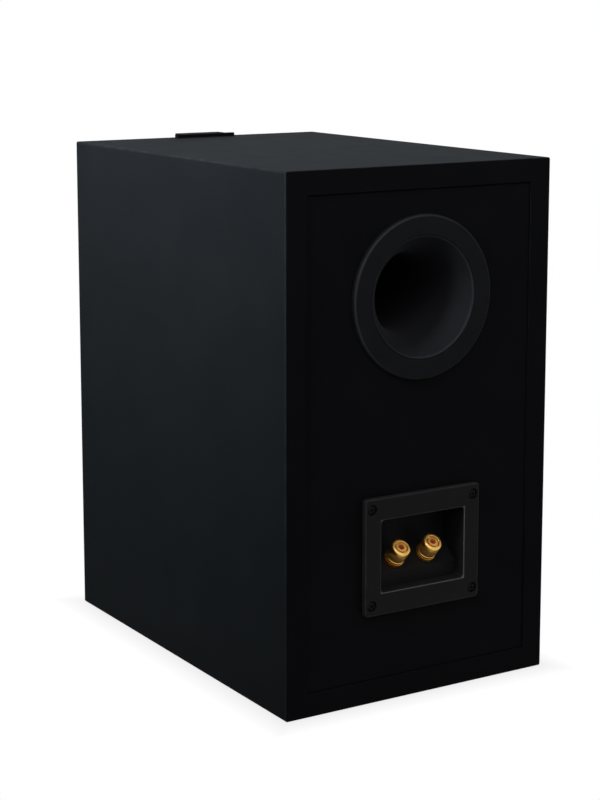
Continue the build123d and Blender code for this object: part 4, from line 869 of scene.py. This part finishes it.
bpy.ops.mesh.primitive_grid_add(x_subdivisions=FLOOR_STEPS, y_subdivisions=FLOOR_STEPS, size=2 * FLOOR_HALF,
                                location=(0, 0, -FLOOR_DROP))
floor = bpy.context.object
floor.name = "white_floor"
sweep = bpy.data.materials.new("white_sweep")
sweep.use_nodes = True
tree = sweep.node_tree
tree.nodes.clear()
beyond = reckon_vector(tree, "SUBTRACT", reckon_vector(tree, "ABSOLUTE", spot_on(tree)), wrap_high)
x, y, _ = node(tree, "ShaderNodeSeparateXYZ", {0: beyond}).outputs
keeps_shadow = between(tree, reckon(tree, "MAXIMUM", x, y), SHADOW_SHARE, 0.0, 0.0, SHADOW_REACH)
glow = node(tree, "ShaderNodeEmission", {"Color": WHITE, "Strength": 1.0}).outputs[0]
paper = node(tree, "ShaderNodeBsdfDiffuse", {"Color": PAPER}).outputs[0]
bounce = node(tree, "ShaderNodeBsdfDiffuse", {"Color": BOUNCE}).outputs[0]
shown = node(tree, "ShaderNodeMixShader", {0: keeps_shadow, 1: glow, 2: paper}).outputs[0]
both = node(tree, "ShaderNodeMixShader", {0: looked_at(tree), 1: bounce, 2: shown}).outputs[0]
node(tree, "ShaderNodeOutputMaterial", {"Surface": both})
floor.data.materials.append(sweep)

world = bpy.data.worlds.new("studio")
bpy.context.scene.world = world
world.use_nodes = True
tree = world.node_tree
tree.nodes.clear()
strength = between(tree, looked_at(tree), AMBIENT, 1.0, 0.0, 1.0)
sky = node(tree, "ShaderNodeBackground", {"Color": WHITE, "Strength": strength}).outputs[0]
node(tree, "ShaderNodeOutputWorld", {"Surface": sky})


def soft_box(name, place, target, size, power, spread):
    """Square studio lamp aimed at a point, with a grid that keeps its light within a spread in degrees."""
    lamp = bpy.data.lights.new(name, "AREA")
    lamp.size, lamp.energy, lamp.spread = size, power, math.radians(spread)
    stand = bpy.data.objects.new(name, lamp)
    bpy.context.scene.collection.objects.link(stand)
    stand.location = place
    stand.rotation_mode = "QUATERNION"
    stand.rotation_quaternion = (Vector(target) - Vector(place)).to_track_quat("-Z", "Y")
    stand.visible_camera = False


soft_box("left_soft_box", place=(0.85, 0.12, 0.85), target=(0.06, -0.05, 0.56),
         size=0.50, power=2.7, spread=60)
soft_box("top_soft_box", place=(0.36, 1.00, 1.15), target=(0.0, 0.10, 0.20),
         size=0.80, power=1.6, spread=120)
soft_box("front_soft_box", place=(-0.30, -1.10, 0.12), target=(0.0, -0.15, 0.20),
         size=0.40, power=5.0, spread=120)


# Camera: behind the speaker, off to one side and a little above it, looking down by about nine degrees.
# Its long lens is shifted, so that its axis meets the picture above the middle and uprights stay near parallel.
CAMERA_PLACE = Vector((0.7324, 1.1794, 0.4682))
CAMERA_TURN, CAMERA_RISE = math.radians(148.185), math.radians(9.16)
SENSOR, FOCAL_PIXELS, PHOTO_HEIGHT, AXIS_ROW = 36.0, 1925.0, 800, 310
lens = bpy.data.cameras.new("camera")
lens.sensor_width = SENSOR
lens.lens = FOCAL_PIXELS / PHOTO_HEIGHT * SENSOR
lens.shift_y = (AXIS_ROW - PHOTO_HEIGHT / 2) / PHOTO_HEIGHT
camera = bpy.data.objects.new("camera", lens)
bpy.context.scene.collection.objects.link(camera)
camera.location = CAMERA_PLACE
back_way = Vector((math.sin(CAMERA_TURN) * math.cos(CAMERA_RISE),
                   -math.cos(CAMERA_TURN) * math.cos(CAMERA_RISE), math.sin(CAMERA_RISE)))
camera.rotation_mode = "QUATERNION"
camera.rotation_quaternion = (-back_way).to_track_quat("-Z", "Y")
bpy.context.scene.camera = camera
bpy.context.scene.view_settings.view_transform = "Standard"
